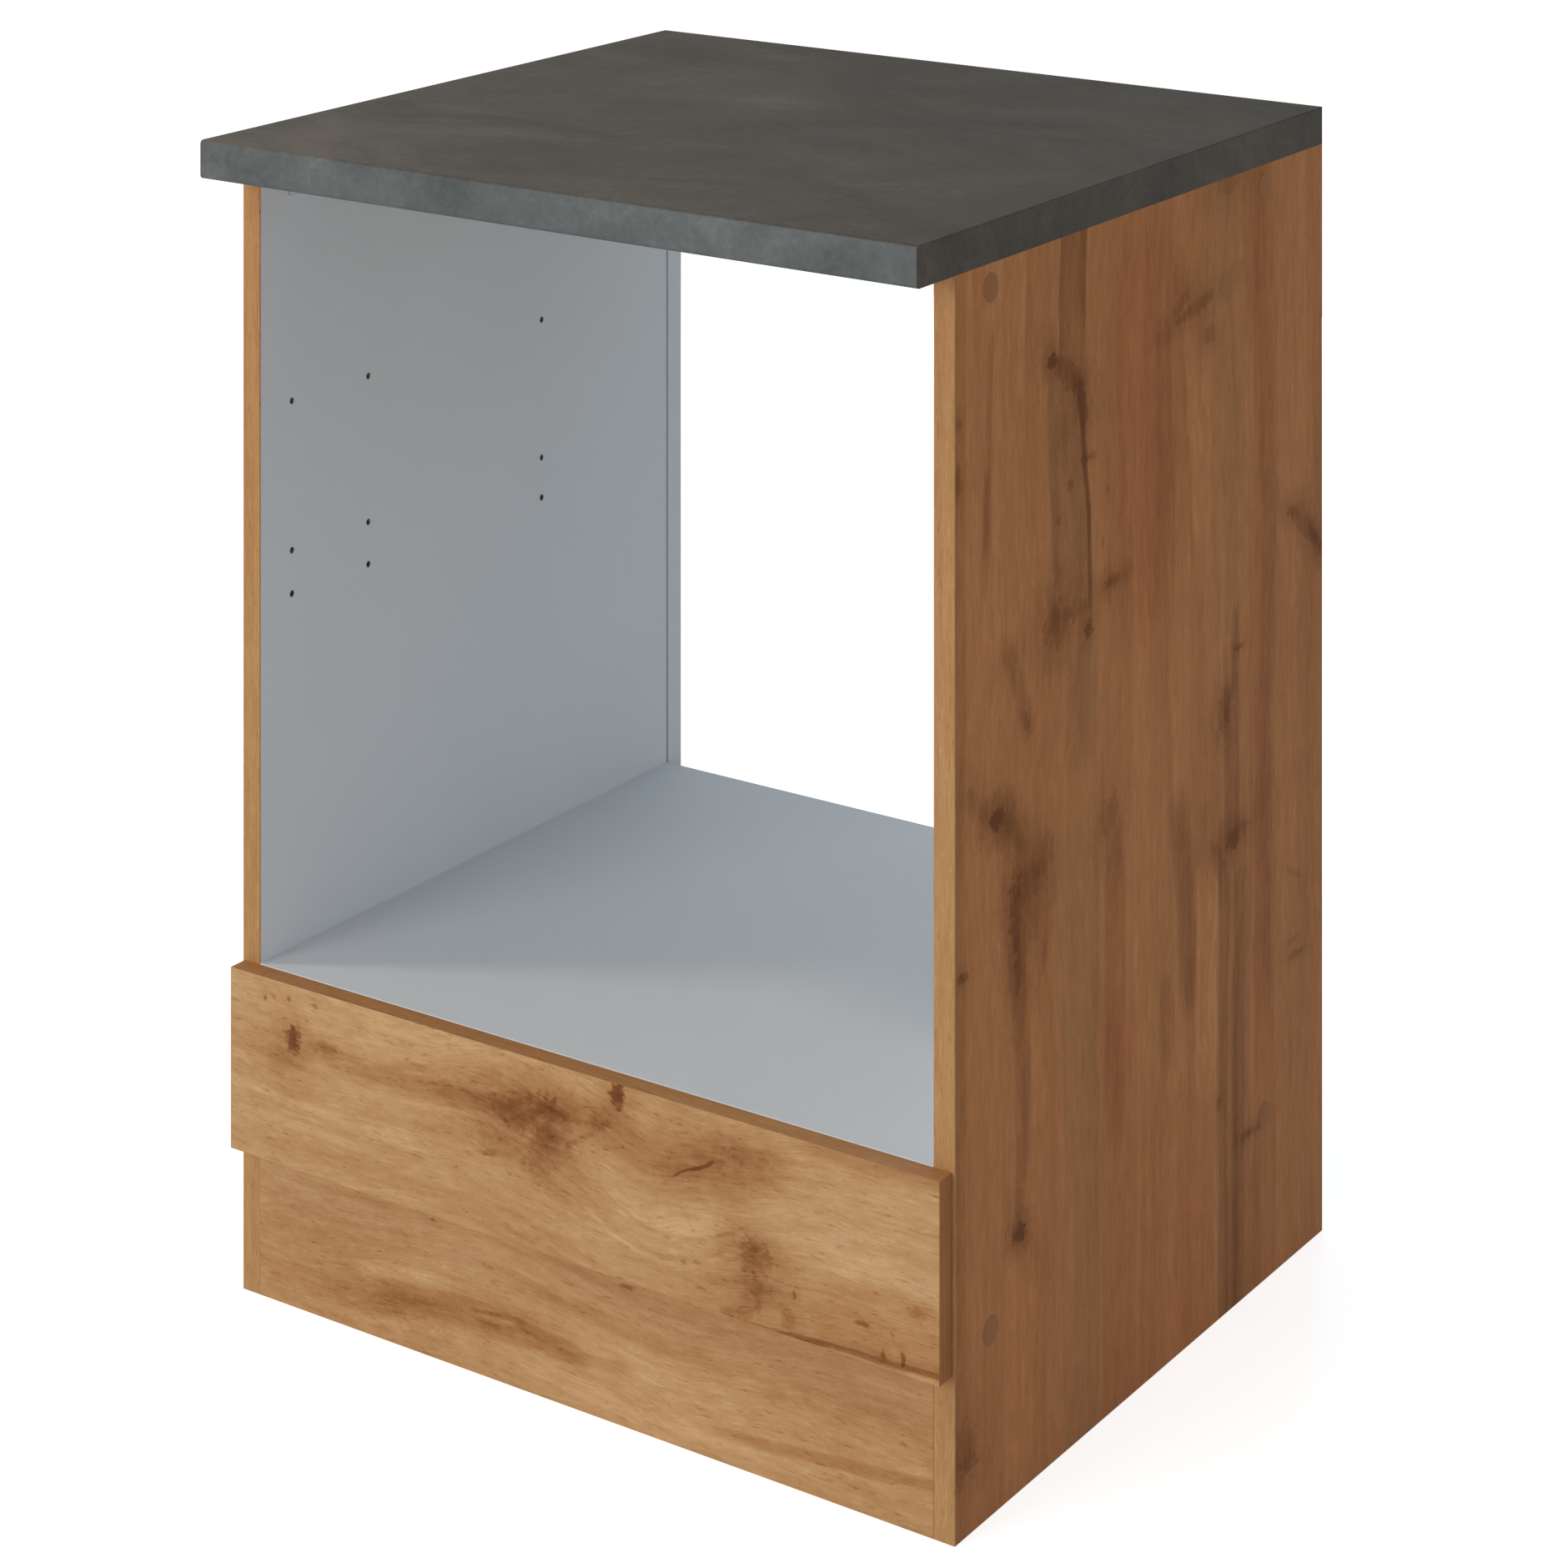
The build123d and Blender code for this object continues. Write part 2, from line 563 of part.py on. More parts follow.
def drawer_runner(side):
    """The angle on the drawer: running flange, web and the leg under the drawer's side."""
    near = RUNNER_SPACE
    sheet = RUNNER_STEEL
    foot = DRAWER_BOX_BOTTOM
    start = DRAWER_BOX_FRONT + RUNNER_SETBACK
    flange_end = REAR_AXLE_Y - REAR_ROLLER_RADIUS - sheet
    web_and_leg = [
        (near - sheet, foot - sheet), (near + DRAWER_LEG, foot - sheet), (near + DRAWER_LEG, foot),
        (near, foot), (near, FLANGE_TOP), (near - sheet, FLANGE_TOP),
    ]
    flange = [
        (near - FLANGE_OVERLAP, FLANGE_UNDERSIDE), (near - sheet, FLANGE_UNDERSIDE),
        (near - sheet, FLANGE_TOP), (near - FLANGE_OVERLAP, FLANGE_TOP),
    ]
    runner = section(side, web_and_leg, start, DRAWER_BOX_REAR)
    runner += section(side, flange, start, flange_end)
    axle = (side * (INNER - near), REAR_AXLE_Y, REAR_AXLE_Z)
    cuts = [rod(AXLE_RADIUS + HOLE_PLAY, sheet, axle, (side, 0, 0))]
    for place in drawer_runner_screw_places(side):
        cuts.append(aim(screw(PANEL_SCREW, HOLE_PLAY), *place))
    return runner - cuts


def drawer_runner_screw_places(side):
    """Where the screws go up through the leg into the drawer's side."""
    x = side * (DRAWER_OUTER - DRAWER_LEG / 2)
    z = DRAWER_BOX_BOTTOM - RUNNER_STEEL
    lines = (DRAWER_BOX_FRONT + RUNNER_SCREW_INSET, DRAWER_BOX_REAR - RUNNER_SCREW_INSET)
    return [((x, y, z), (0, 0, 1)) for y in lines]


def roller(radius, hub_length):
    """A nylon roller along +Z: a disc from 0, and a hub that runs on past it."""
    bore = AXLE_RADIUS + AXLE_PLAY
    hub = bore + ROLLER_HUB
    return turned([
        (bore, 0), (radius, 0), (radius, ROLLER_WIDTH), (hub, ROLLER_WIDTH),
        (hub, hub_length), (bore, hub_length),
    ])


def rivet(length):
    """A rivet along +Z whose head ends at 0, and whose shank runs on from there."""
    return turned([
        (0, -RIVET_HEAD), (RIVET_HEAD_RADIUS, -RIVET_HEAD), (RIVET_HEAD_RADIUS, 0),
        (AXLE_RADIUS, 0), (AXLE_RADIUS, length), (0, length),
    ])


def cabinet_roller(side):
    """The front roller, which carries the drawer's flange."""
    rim_face = CHANNEL_REACH - RUNNER_STEEL - MOVING_GAP
    hub = rim_face - RUNNER_STEEL - MOVING_GAP
    face = (side * (INNER - rim_face), FRONT_AXLE_Y, FRONT_AXLE_Z)
    return aim(roller(FRONT_ROLLER_RADIUS, hub), face, (side, 0, 0))


def cabinet_roller_rivet(side):
    """The rivet that holds the front roller on the channel's web."""
    head = CHANNEL_REACH - RUNNER_STEEL
    face = (side * (INNER - head), FRONT_AXLE_Y, FRONT_AXLE_Z)
    return aim(rivet(head), face, (side, 0, 0))


def drawer_roller(side):
    """The rear roller, which runs in the channel."""
    rim_face = CHANNEL_REACH - RUNNER_STEEL - MOVING_GAP - ROLLER_WIDTH
    hub = RUNNER_SPACE - RUNNER_STEEL - MOVING_GAP - rim_face
    face = (side * (INNER - rim_face), REAR_AXLE_Y, REAR_AXLE_Z)
    return aim(roller(REAR_ROLLER_RADIUS, hub), face, (-side, 0, 0))


def drawer_roller_rivet(side):
    """The rivet that holds the rear roller on the drawer's runner."""
    head = CHANNEL_REACH - RUNNER_STEEL - 2 * MOVING_GAP - ROLLER_WIDTH
    face = (side * (INNER - head), REAR_AXLE_Y, REAR_AXLE_Z)
    return aim(rivet(RUNNER_SPACE - head), face, (-side, 0, 0))


def drawer_front():
    """The board of the drawer's front, without its bands."""
    x = OUTER - FRONT_REVEAL - BAND
    z = (FRONT_TOP - FRONT_HEIGHT + BAND, FRONT_TOP - BAND)
    board = block((-x, x), (FRONT_FACE, DRAWER_BOX_FRONT), z)
    return board - [aim(screw(FRONT_SCREW, HOLE_PLAY), *place) for place in front_screw_places()]


def drawer_front_bands():
    """The bands round the drawer's front: two uprights, with the long ones between."""
    outer = OUTER - FRONT_REVEAL
    y = (FRONT_FACE, DRAWER_BOX_FRONT)
    low = FRONT_TOP - FRONT_HEIGHT
    bands = []
    for side in (-1, 1):
        x = sorted((side * (outer - BAND), side * outer))
        bands.append(block(x, y, (low, FRONT_TOP)))
    for z in ((low, low + BAND), (FRONT_TOP - BAND, FRONT_TOP)):
        bands.append(block((-outer + BAND, outer - BAND), y, z))
    return bands


def front_screw_places():
    """Where the screws go from inside the drawer into its front."""
    y = DRAWER_BOX_FRONT + DRAWER_BOX_BOARD
    spread = (-FRONT_SCREW_SPREAD, FRONT_SCREW_SPREAD)
    return [((x, y, z), (0, -1, 0)) for x in spread for z in corner_screw_heights()]


def corner_screw_heights():
    """Heights of the screws at the drawer's corners, and of those into its front."""
    return [DRAWER_BOX_BOTTOM + CORNER_SCREW_LOW, DRAWER_BOX_BOTTOM + CORNER_SCREW_HIGH]


def corner_screw_places(side):
    """Where the screws go through a drawer side into the boards between the sides."""
    x = side * (DRAWER_OUTER - CORNER_SCREW[1] - HOLE_PLAY)
    half = DRAWER_BOX_BOARD / 2
    lines = (DRAWER_BOX_FRONT + half, DRAWER_BOX_REAR - half)
    return [((x, y, z), (-side, 0, 0)) for y in lines for z in corner_screw_heights()]


def bottom_screw_places():
    """Where the screws go up through the drawer's bottom into its back."""
    y = DRAWER_BOX_REAR - DRAWER_BOX_BOARD / 2
    spread = (-FLOOR_SCREW_SPREAD, 0, FLOOR_SCREW_SPREAD)
    return [((x, y, DRAWER_FLOOR), (0, 0, 1)) for x in spread]


def drawer_groove():
    """The groove that the drawer's bottom slides into from behind."""
    reach = DRAWER_INNER + DRAWER_GROOVE_DEPTH
    start = DRAWER_BOX_FRONT + DRAWER_BOX_BOARD - DRAWER_GROOVE_DEPTH
    y = (start, DRAWER_BOX_REAR + CUT_PAST)
    return block((-reach, reach), y, (DRAWER_FLOOR, DRAWER_FLOOR + DRAWER_BOTTOM + DRAWER_GROOVE_PLAY))


def drawer_side(side):
    """One side of the drawer's box."""
    x = sorted((side * DRAWER_INNER, side * DRAWER_OUTER))
    z = (DRAWER_BOX_BOTTOM, DRAWER_BOX_BOTTOM + DRAWER_BOX_HEIGHT)
    board = block(x, (DRAWER_BOX_FRONT, DRAWER_BOX_REAR), z)
    cuts = [drawer_groove()]
    for point, direction in corner_screw_places(side):
        flush = (point[0] + side * CORNER_SCREW[1], point[1], point[2])
        cuts.append(aim(sunk_hole(CORNER_SCREW), flush, direction))
    for place in drawer_runner_screw_places(side):
        cuts.append(aim(screw(PANEL_SCREW, HOLE_PLAY), *place))
    return board - cuts


def drawer_box_front():
    """The board behind the drawer's front, between the drawer's sides."""
    y = (DRAWER_BOX_FRONT, DRAWER_BOX_FRONT + DRAWER_BOX_BOARD)
    z = (DRAWER_BOX_BOTTOM, DRAWER_BOX_BOTTOM + DRAWER_BOX_HEIGHT)
    board = block((-DRAWER_INNER, DRAWER_INNER), y, z)
    cuts = [drawer_groove()]
    for side in (-1, 1):
        cuts += [aim(screw(CORNER_SCREW, HOLE_PLAY), *p) for p in corner_screw_places(side)]
    cuts += [aim(screw(FRONT_SCREW, HOLE_PLAY), *place) for place in front_screw_places()]
    return board - cuts


def drawer_box_back():
    """The drawer's back, which stands on the drawer's bottom."""
    y = (DRAWER_BOX_REAR - DRAWER_BOX_BOARD, DRAWER_BOX_REAR)
    z = (DRAWER_FLOOR + DRAWER_BOTTOM, DRAWER_BOX_BOTTOM + DRAWER_BOX_HEIGHT)
    board = block((-DRAWER_INNER, DRAWER_INNER), y, z)
    cuts = []
    for side in (-1, 1):
        cuts += [aim(screw(CORNER_SCREW, HOLE_PLAY), *p) for p in corner_screw_places(side)]
    cuts += [aim(screw(PANEL_SCREW, HOLE_PLAY), *place) for place in bottom_screw_places()]
    return board - cuts


def drawer_bottom():
    """The thin bottom in the drawer's grooves."""
    reach = DRAWER_INNER + DRAWER_GROOVE_DEPTH - BACK_EDGE_PLAY
    start = DRAWER_BOX_FRONT + DRAWER_BOX_BOARD - DRAWER_GROOVE_DEPTH + BACK_EDGE_PLAY
    z = (DRAWER_FLOOR, DRAWER_FLOOR + DRAWER_BOTTOM)
    panel = block((-reach, reach), (start, DRAWER_BOX_REAR), z)
    return panel - [aim(screw(PANEL_SCREW, HOLE_PLAY), *place) for place in bottom_screw_places()]


def set_of(size, places):
    """Identical screws at a list of places."""
    return [aim(screw(size), *place) for place in places]


def both_sides(places):
    """The places on the left and on the right, from a function of the side's sign."""
    return places(-1) + places(1)


def runner_screws(side):
    """The flat-headed screws that hold one channel on the cabinet's side."""
    x = side * (INNER - RUNNER_STEEL)
    points = [(x, y, RUNNER_SCREW_HEIGHT) for y in runner_screw_lines()]
    return [aim(sunk_screw(RUNNER_SCREW), point, (side, 0, 0)) for point in points]


def all_nodes():
    """Every sub-part by name. A list is a group of identical separate solids."""
    nodes = {
        "worktop_core": worktop_core(),
        "worktop_laminate": worktop_laminate(),
        "bottom_board": bottom_board(),
        "bottom_board_band": cross_band(PLINTH_HEIGHT),
        "oven_shelf": oven_shelf(),
        "oven_shelf_band": cross_band(SHELF_UNDERSIDE),
        "plinth_board": plinth_board(),
        "plinth_bracket_screws": set_of(BRACKET_SCREW, both_sides(bracket_screw_places)),
        "lower_back_panel": lower_back_panel(),
        "lower_back_screws": set_of(PANEL_SCREW, back_screw_places()),
        "top_rail_front": top_rail(FIXING_LINES[0]),
        "top_rail_rear": top_rail(FIXING_LINES[1]),
        "top_rail_bolts": rail_bolts(),
        "worktop_screws": set_of(WORKTOP_SCREW, worktop_screw_places()),
        "carcass_screws": set_of(CARCASS_SCREW, carcass_screw_places()),
        "shelf_cams": shelf_cams(),
        "shelf_cam_bolts": shelf_cam_bolts(),
        "shelf_dowels": shelf_dowels(),
        "cabinet_runner_screws": runner_screws(-1) + runner_screws(1),
        "drawer_front": drawer_front(),
        "drawer_front_bands": drawer_front_bands(),
        "drawer_front_screws": set_of(FRONT_SCREW, front_screw_places()),
        "drawer_box_front": drawer_box_front(),
        "drawer_box_back": drawer_box_back(),
        "drawer_bottom": drawer_bottom(),
        "drawer_bottom_screws": set_of(PANEL_SCREW, bottom_screw_places()),
        "drawer_corner_screws": set_of(CORNER_SCREW, both_sides(corner_screw_places)),
        "drawer_runner_screws": set_of(PANEL_SCREW, both_sides(drawer_runner_screw_places)),
    }
    pairs = {
        "worktop_end_strip": worktop_end_strip,
        "side_board": side_board,
        "side_front_band": side_front_band,
        "cover_caps": cover_caps,
        "plinth_bracket": plinth_bracket,
        "cabinet_runner": cabinet_runner,
        "cabinet_roller": cabinet_roller,
        "cabinet_roller_rivet": cabinet_roller_rivet,
        "drawer_side": drawer_side,
        "drawer_runner": drawer_runner,
        "drawer_roller": drawer_roller,
        "drawer_roller_rivet": drawer_roller_rivet,
    }
    for name, make in pairs.items():
        for which, shape in mirrored(make).items():
            nodes[f"{name}_{which}"] = shape
    return nodes


os.makedirs("parts", exist_ok=True)
for name, shape in all_nodes().items():
    if isinstance(shape, list):
        shape = Compound(children=[Compound(piece.wrapped).solids()[0] for piece in shape])
    export_step(shape, f"parts/{name}.step")
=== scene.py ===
import math

import bpy
import numpy as np
from mathutils import Matrix


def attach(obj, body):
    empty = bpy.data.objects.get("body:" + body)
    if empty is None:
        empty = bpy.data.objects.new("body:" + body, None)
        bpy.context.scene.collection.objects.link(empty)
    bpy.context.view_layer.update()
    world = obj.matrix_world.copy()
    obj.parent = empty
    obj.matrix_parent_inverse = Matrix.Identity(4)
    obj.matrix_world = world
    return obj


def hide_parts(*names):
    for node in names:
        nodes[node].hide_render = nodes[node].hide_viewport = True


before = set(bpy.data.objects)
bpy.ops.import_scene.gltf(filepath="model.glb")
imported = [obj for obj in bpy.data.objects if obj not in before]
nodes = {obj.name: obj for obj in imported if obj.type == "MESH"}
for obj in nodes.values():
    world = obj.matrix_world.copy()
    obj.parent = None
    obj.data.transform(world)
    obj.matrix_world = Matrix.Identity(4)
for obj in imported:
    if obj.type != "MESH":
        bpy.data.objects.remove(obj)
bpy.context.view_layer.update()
scene = bpy.context.scene
print("cabinet loaded:", len(nodes), "nodes")


def srgb(red, green, blue):
    # screen values 0 to 255 to linear light: c / 12.92 below 0.04, else ((c + 0.055) / 1.055) ^ 2.4
    out = []
    for value in (red, green, blue):
        c = value / 255
        out.append(c / 12.92 if c <= 0.04045 else ((c + 0.055) / 1.055) ** 2.4)
    return (*out, 1.0)


def add(tree, kind, inputs=None, **settings):
    made = tree.nodes.new(kind)
    for key, value in settings.items():
        setattr(made, key, value)
    sockets = {socket.identifier: socket for socket in made.inputs}
    for name, value in (inputs or {}).items():
        socket = sockets.get(name) or made.inputs[name]
        if isinstance(value, bpy.types.NodeSocket):
            tree.links.new(value, socket)
        else:
            socket.default_value = value
    return made


def calc(tree, operation, a, b=None, c=None, clamp=False):
    values = {i: v for i, v in enumerate((a, b, c)) if v is not None}
    return add(tree, "ShaderNodeMath", values, operation=operation, use_clamp=clamp).outputs[0]


def total(tree, terms, result=0.0):
    # sum of (socket, weight) pairs on top of a first value, as one chain of multiply-adds
    for socket, weight in terms:
        result = calc(tree, "MULTIPLY_ADD", socket, weight, result)
    return result


def blend(tree, factor, a, b, mode="MIX"):
    made = add(tree, "ShaderNodeMix", {0: factor, 6: a, 7: b}, data_type="RGBA", blend_type=mode)
    return made.outputs[2]


def mixNumber(tree, factor, a, b):
    return add(tree, "ShaderNodeMix", {0: factor, 2: a, 3: b}).outputs[0]


def over(tree, mask, above, below):
    # two finishes of colour, roughness and height: the first where the mask is 1, the second elsewhere
    rough, height = (mixNumber(tree, mask, below[i], above[i]) for i in (1, 2))
    return blend(tree, mask, below[0], above[0]), rough, height


def between(tree, value, low, high):
    # 1 between two places, 0 outside them
    above = calc(tree, "GREATER_THAN", value, low)
    return calc(tree, "MULTIPLY", above, calc(tree, "LESS_THAN", value, high))


def ramp(tree, factor, stops):
    made = add(tree, "ShaderNodeValToRGB", {"Fac": factor})
    elements = made.color_ramp.elements
    while len(elements) < len(stops):
        elements.new(0.5)
    for element, (place, colour) in zip(elements, stops):
        element.position = place
        element.color = colour
    return made.outputs["Color"]


def screenRamp(tree, factor, stops):
    # a ramp of colours written as screen values
    return ramp(tree, factor, [(place, srgb(*colour)) for place, colour in stops])


def step(tree, value, low, high, before=0.0, after=1.0):
    # before below low, after above high, eased between
    inputs = {"Value": value, "From Min": low, "From Max": high, "To Min": before, "To Max": after}
    made = add(tree, "ShaderNodeMapRange", inputs, interpolation_type="SMOOTHSTEP")
    return made.outputs["Result"]


def vector(tree, x, y, z=0.0):
    return add(tree, "ShaderNodeCombineXYZ", {0: x, 1: y, 2: z}).outputs[0]


def scaled(tree, places, scales):
    # each place times its own scale, as one vector
    return vector(tree, *(calc(tree, "MULTIPLY", place, scale) for place, scale in zip(places, scales)))


def noise(tree, place, scale=1.0, detail=2.0, rough=0.5, bend=0.0):
    inputs = {"Vector": place, "Scale": scale, "Detail": detail, "Roughness": rough, "Distortion": bend}
    return add(tree, "ShaderNodeTexNoise", inputs).outputs["Fac"]


def centred(tree, value):
    return calc(tree, "SUBTRACT", value, 0.5)


def emptyTree(owner):
    owner.use_nodes = True
    owner.node_tree.nodes.clear()
    return owner.node_tree


def start(name):
    material = bpy.data.materials.new(name)
    tree = emptyTree(material)
    place = add(tree, "ShaderNodeTexCoord").outputs["Object"]
    axes = add(tree, "ShaderNodeSeparateXYZ", {0: place}).outputs
    return material, tree, place, (axes[0], axes[1], axes[2])


def close(tree, colour, rough, height, depth, specular=0.14, metallic=0.0):
    # joins colour, roughness and bump to one shader; the constants stand on its own sockets
    bump = add(tree, "ShaderNodeBump", {"Height": height, "Distance": depth, "Strength": 1.0})
    inputs = {
        "Base Color": colour, "Roughness": rough, "Normal": bump.outputs["Normal"],
        "Specular IOR Level": specular, "Metallic": metallic,
    }
    shader = add(tree, "ShaderNodeBsdfPrincipled", inputs)
    add(tree, "ShaderNodeOutputMaterial", {"Surface": shader.outputs[0]})


def vectorMath(tree, operation, *values):
    made = add(tree, "ShaderNodeVectorMath", dict(enumerate(values)), operation=operation)
    return made.outputs["Value" if operation == "DOT_PRODUCT" else "Vector"]


def markGroup(name, vectors, numbers, results, build):
    group = bpy.data.node_groups.new(name, "ShaderNodeTree")
    for socket in vectors:
        group.interface.new_socket(socket, in_out="INPUT", socket_type="NodeSocketVector")
    for socket in numbers:
        group.interface.new_socket(socket, in_out="INPUT", socket_type="NodeSocketFloat")
    for socket in results:
        group.interface.new_socket(socket, in_out="OUTPUT", socket_type="NodeSocketFloat")
    values = build(group, group.nodes.new("NodeGroupInput").outputs)
    end = group.nodes.new("NodeGroupOutput")
    for socket, value in zip(results, values):
        group.links.new(value, end.inputs[socket])
    return group


# squared distances at which the parts of a mark begin and end
markLook = {"core": (0.1, 1.9), "halo": (0.0, 13.0), "bell": (0.0, 3.0), "fade": (0.0, 0.7)}


def ownPlace(tree, given, other="place"):
    # place along and across a mark, in its half sizes
    u = vectorMath(tree, "DOT_PRODUCT", given["place"], given["alongAxis"])
    return u, vectorMath(tree, "DOT_PRODUCT", given[other], given["acrossAxis"])


def buildKnot(tree, given):
    # squared distance from the middle of an ellipse, in a dark core and a wide halo; the third number
    # of each place is a noise that makes the outline ragged
    place = vector(tree, *ownPlace(tree, given, "otherPlace"))
    own = vectorMath(tree, "ADD", place, given["offset"])
    square = vectorMath(tree, "DOT_PRODUCT", own, own)
    return [step(tree, square, *markLook[part], 1.0, 0.0) for part in ("core", "halo")]


def buildStreak(tree, given):
    # a line with a bow of 1 - u^2, faded towards both ends; the third number of the place is 1
    u, v = ownPlace(tree, given)
    lens = calc(tree, "MULTIPLY_ADD", calc(tree, "MULTIPLY", u, u), -1.0, 1.0, clamp=True)
    offset = calc(tree, "MULTIPLY_ADD", lens, given["bow"], v)
    bell = step(tree, calc(tree, "MULTIPLY", offset, offset), *markLook["bell"], 1.0, 0.0)
    return [calc(tree, "MULTIPLY", bell, step(tree, lens, *markLook["fade"]))]


def buildStrip(tree, given):
    # 1 inside a rectangle, eased out at its sides and more slowly at its ends
    u, v = ownPlace(tree, given)
    broad = step(tree, calc(tree, "ABSOLUTE", v), given["soft"], 1.0, 1.0, 0.0)
    ends = step(tree, calc(tree, "ABSOLUTE", u), given["calm"], 1.0, 1.0, 0.0)
    return [calc(tree, "MULTIPLY", broad, ends)]


def turnedAxes(length, width, turn):
    # rows that turn a place back and divide it by the mark's half sizes
    c, s = math.cos(turn), math.sin(turn)
    return (c / length, s / length), (-s / width, c / width)


axes = ["alongAxis", "acrossAxis"]
knotGroup = markGroup("oakKnot", ["place", "otherPlace", *axes, "offset"], [], ["core", "halo"], buildKnot)
streakGroup = markGroup("oakStreak", ["place", *axes], ["bow"], ["mark"], buildStreak)
stripGroup = markGroup("oakStrip", ["place", *axes], ["calm", "soft"], ["mark"], buildStrip)


def useGroup(tree, group, **inputs):
    return add(tree, "ShaderNodeGroup", inputs, node_tree=group).outputs


def knotMark(tree, places, middle, line, length, width, turn=0.0, ragged=0.0):
    a, b = turnedAxes(length, width, turn)
    offset = (-a[0] * middle - a[1] * line, -b[0] * middle - b[1] * line, 0.0)
    return useGroup(
        tree, knotGroup, place=places[0], otherPlace=places[1], alongAxis=(*a, ragged),
        acrossAxis=(*b, ragged), offset=offset,
    )


def lineMark(tree, group, place, middle, line, length, width, turn=0.0, **others):
    a, b = turnedAxes(length, width, turn)
    alongAxis, acrossAxis = (*a, -a[0] * middle - a[1] * line), (*b, -b[0] * middle - b[1] * line)
    return useGroup(tree, group, place=place, alongAxis=alongAxis, acrossAxis=acrossAxis, **others)["mark"]


oakNoise = {
    # noises by the scale along the grain and across it, the detail and the roughness; the last word says
    # whether the noise bends round the knots with the grain
    "slow": (2.6, 6.0), "quick": (22.0, 60.0), "depthScale": 9.0,
    "rags": (170.0, 190.0), "ragDetail": 2.0, "ragRough": 0.65,
    "layers": {
        "wide": (2.2, 34.0, 2.0, 0.5, True), "narrow": (9.0, 150.0, 3.0, 0.7, True),
        "mottle": (46.0, 130.0, 2.0, 0.65, False), "fibre": (42.0, 900.0, 2.0, 0.6, True),
        "bright": (120.0, 560.0, 1.0, 0.5, True), "pores": (80.0, 1300.0, 1.0, 0.5, True),
        "flecks": (105.0, 430.0, 2.0, 0.6, False), "hue": (1.6, 22.0, 1.0, 0.5, True),
        "height": (60.0, 1100.0, 2.0, 0.6, False),
    },
    "even": ("wide", "narrow", "mottle", "fibre"),
    # spots: where they begin, where they are full, lighter or darker
    "spots": {"bright": (0.58, 0.7, 1), "pores": (0.6, 0.72, -1), "flecks": (0.6, 0.76, -1)},
    "gloss": 0.16, "stripFade": 0.06, "stripSpare": 0.01,
}


def metres(row):
    return [value / 1000 for value in row]


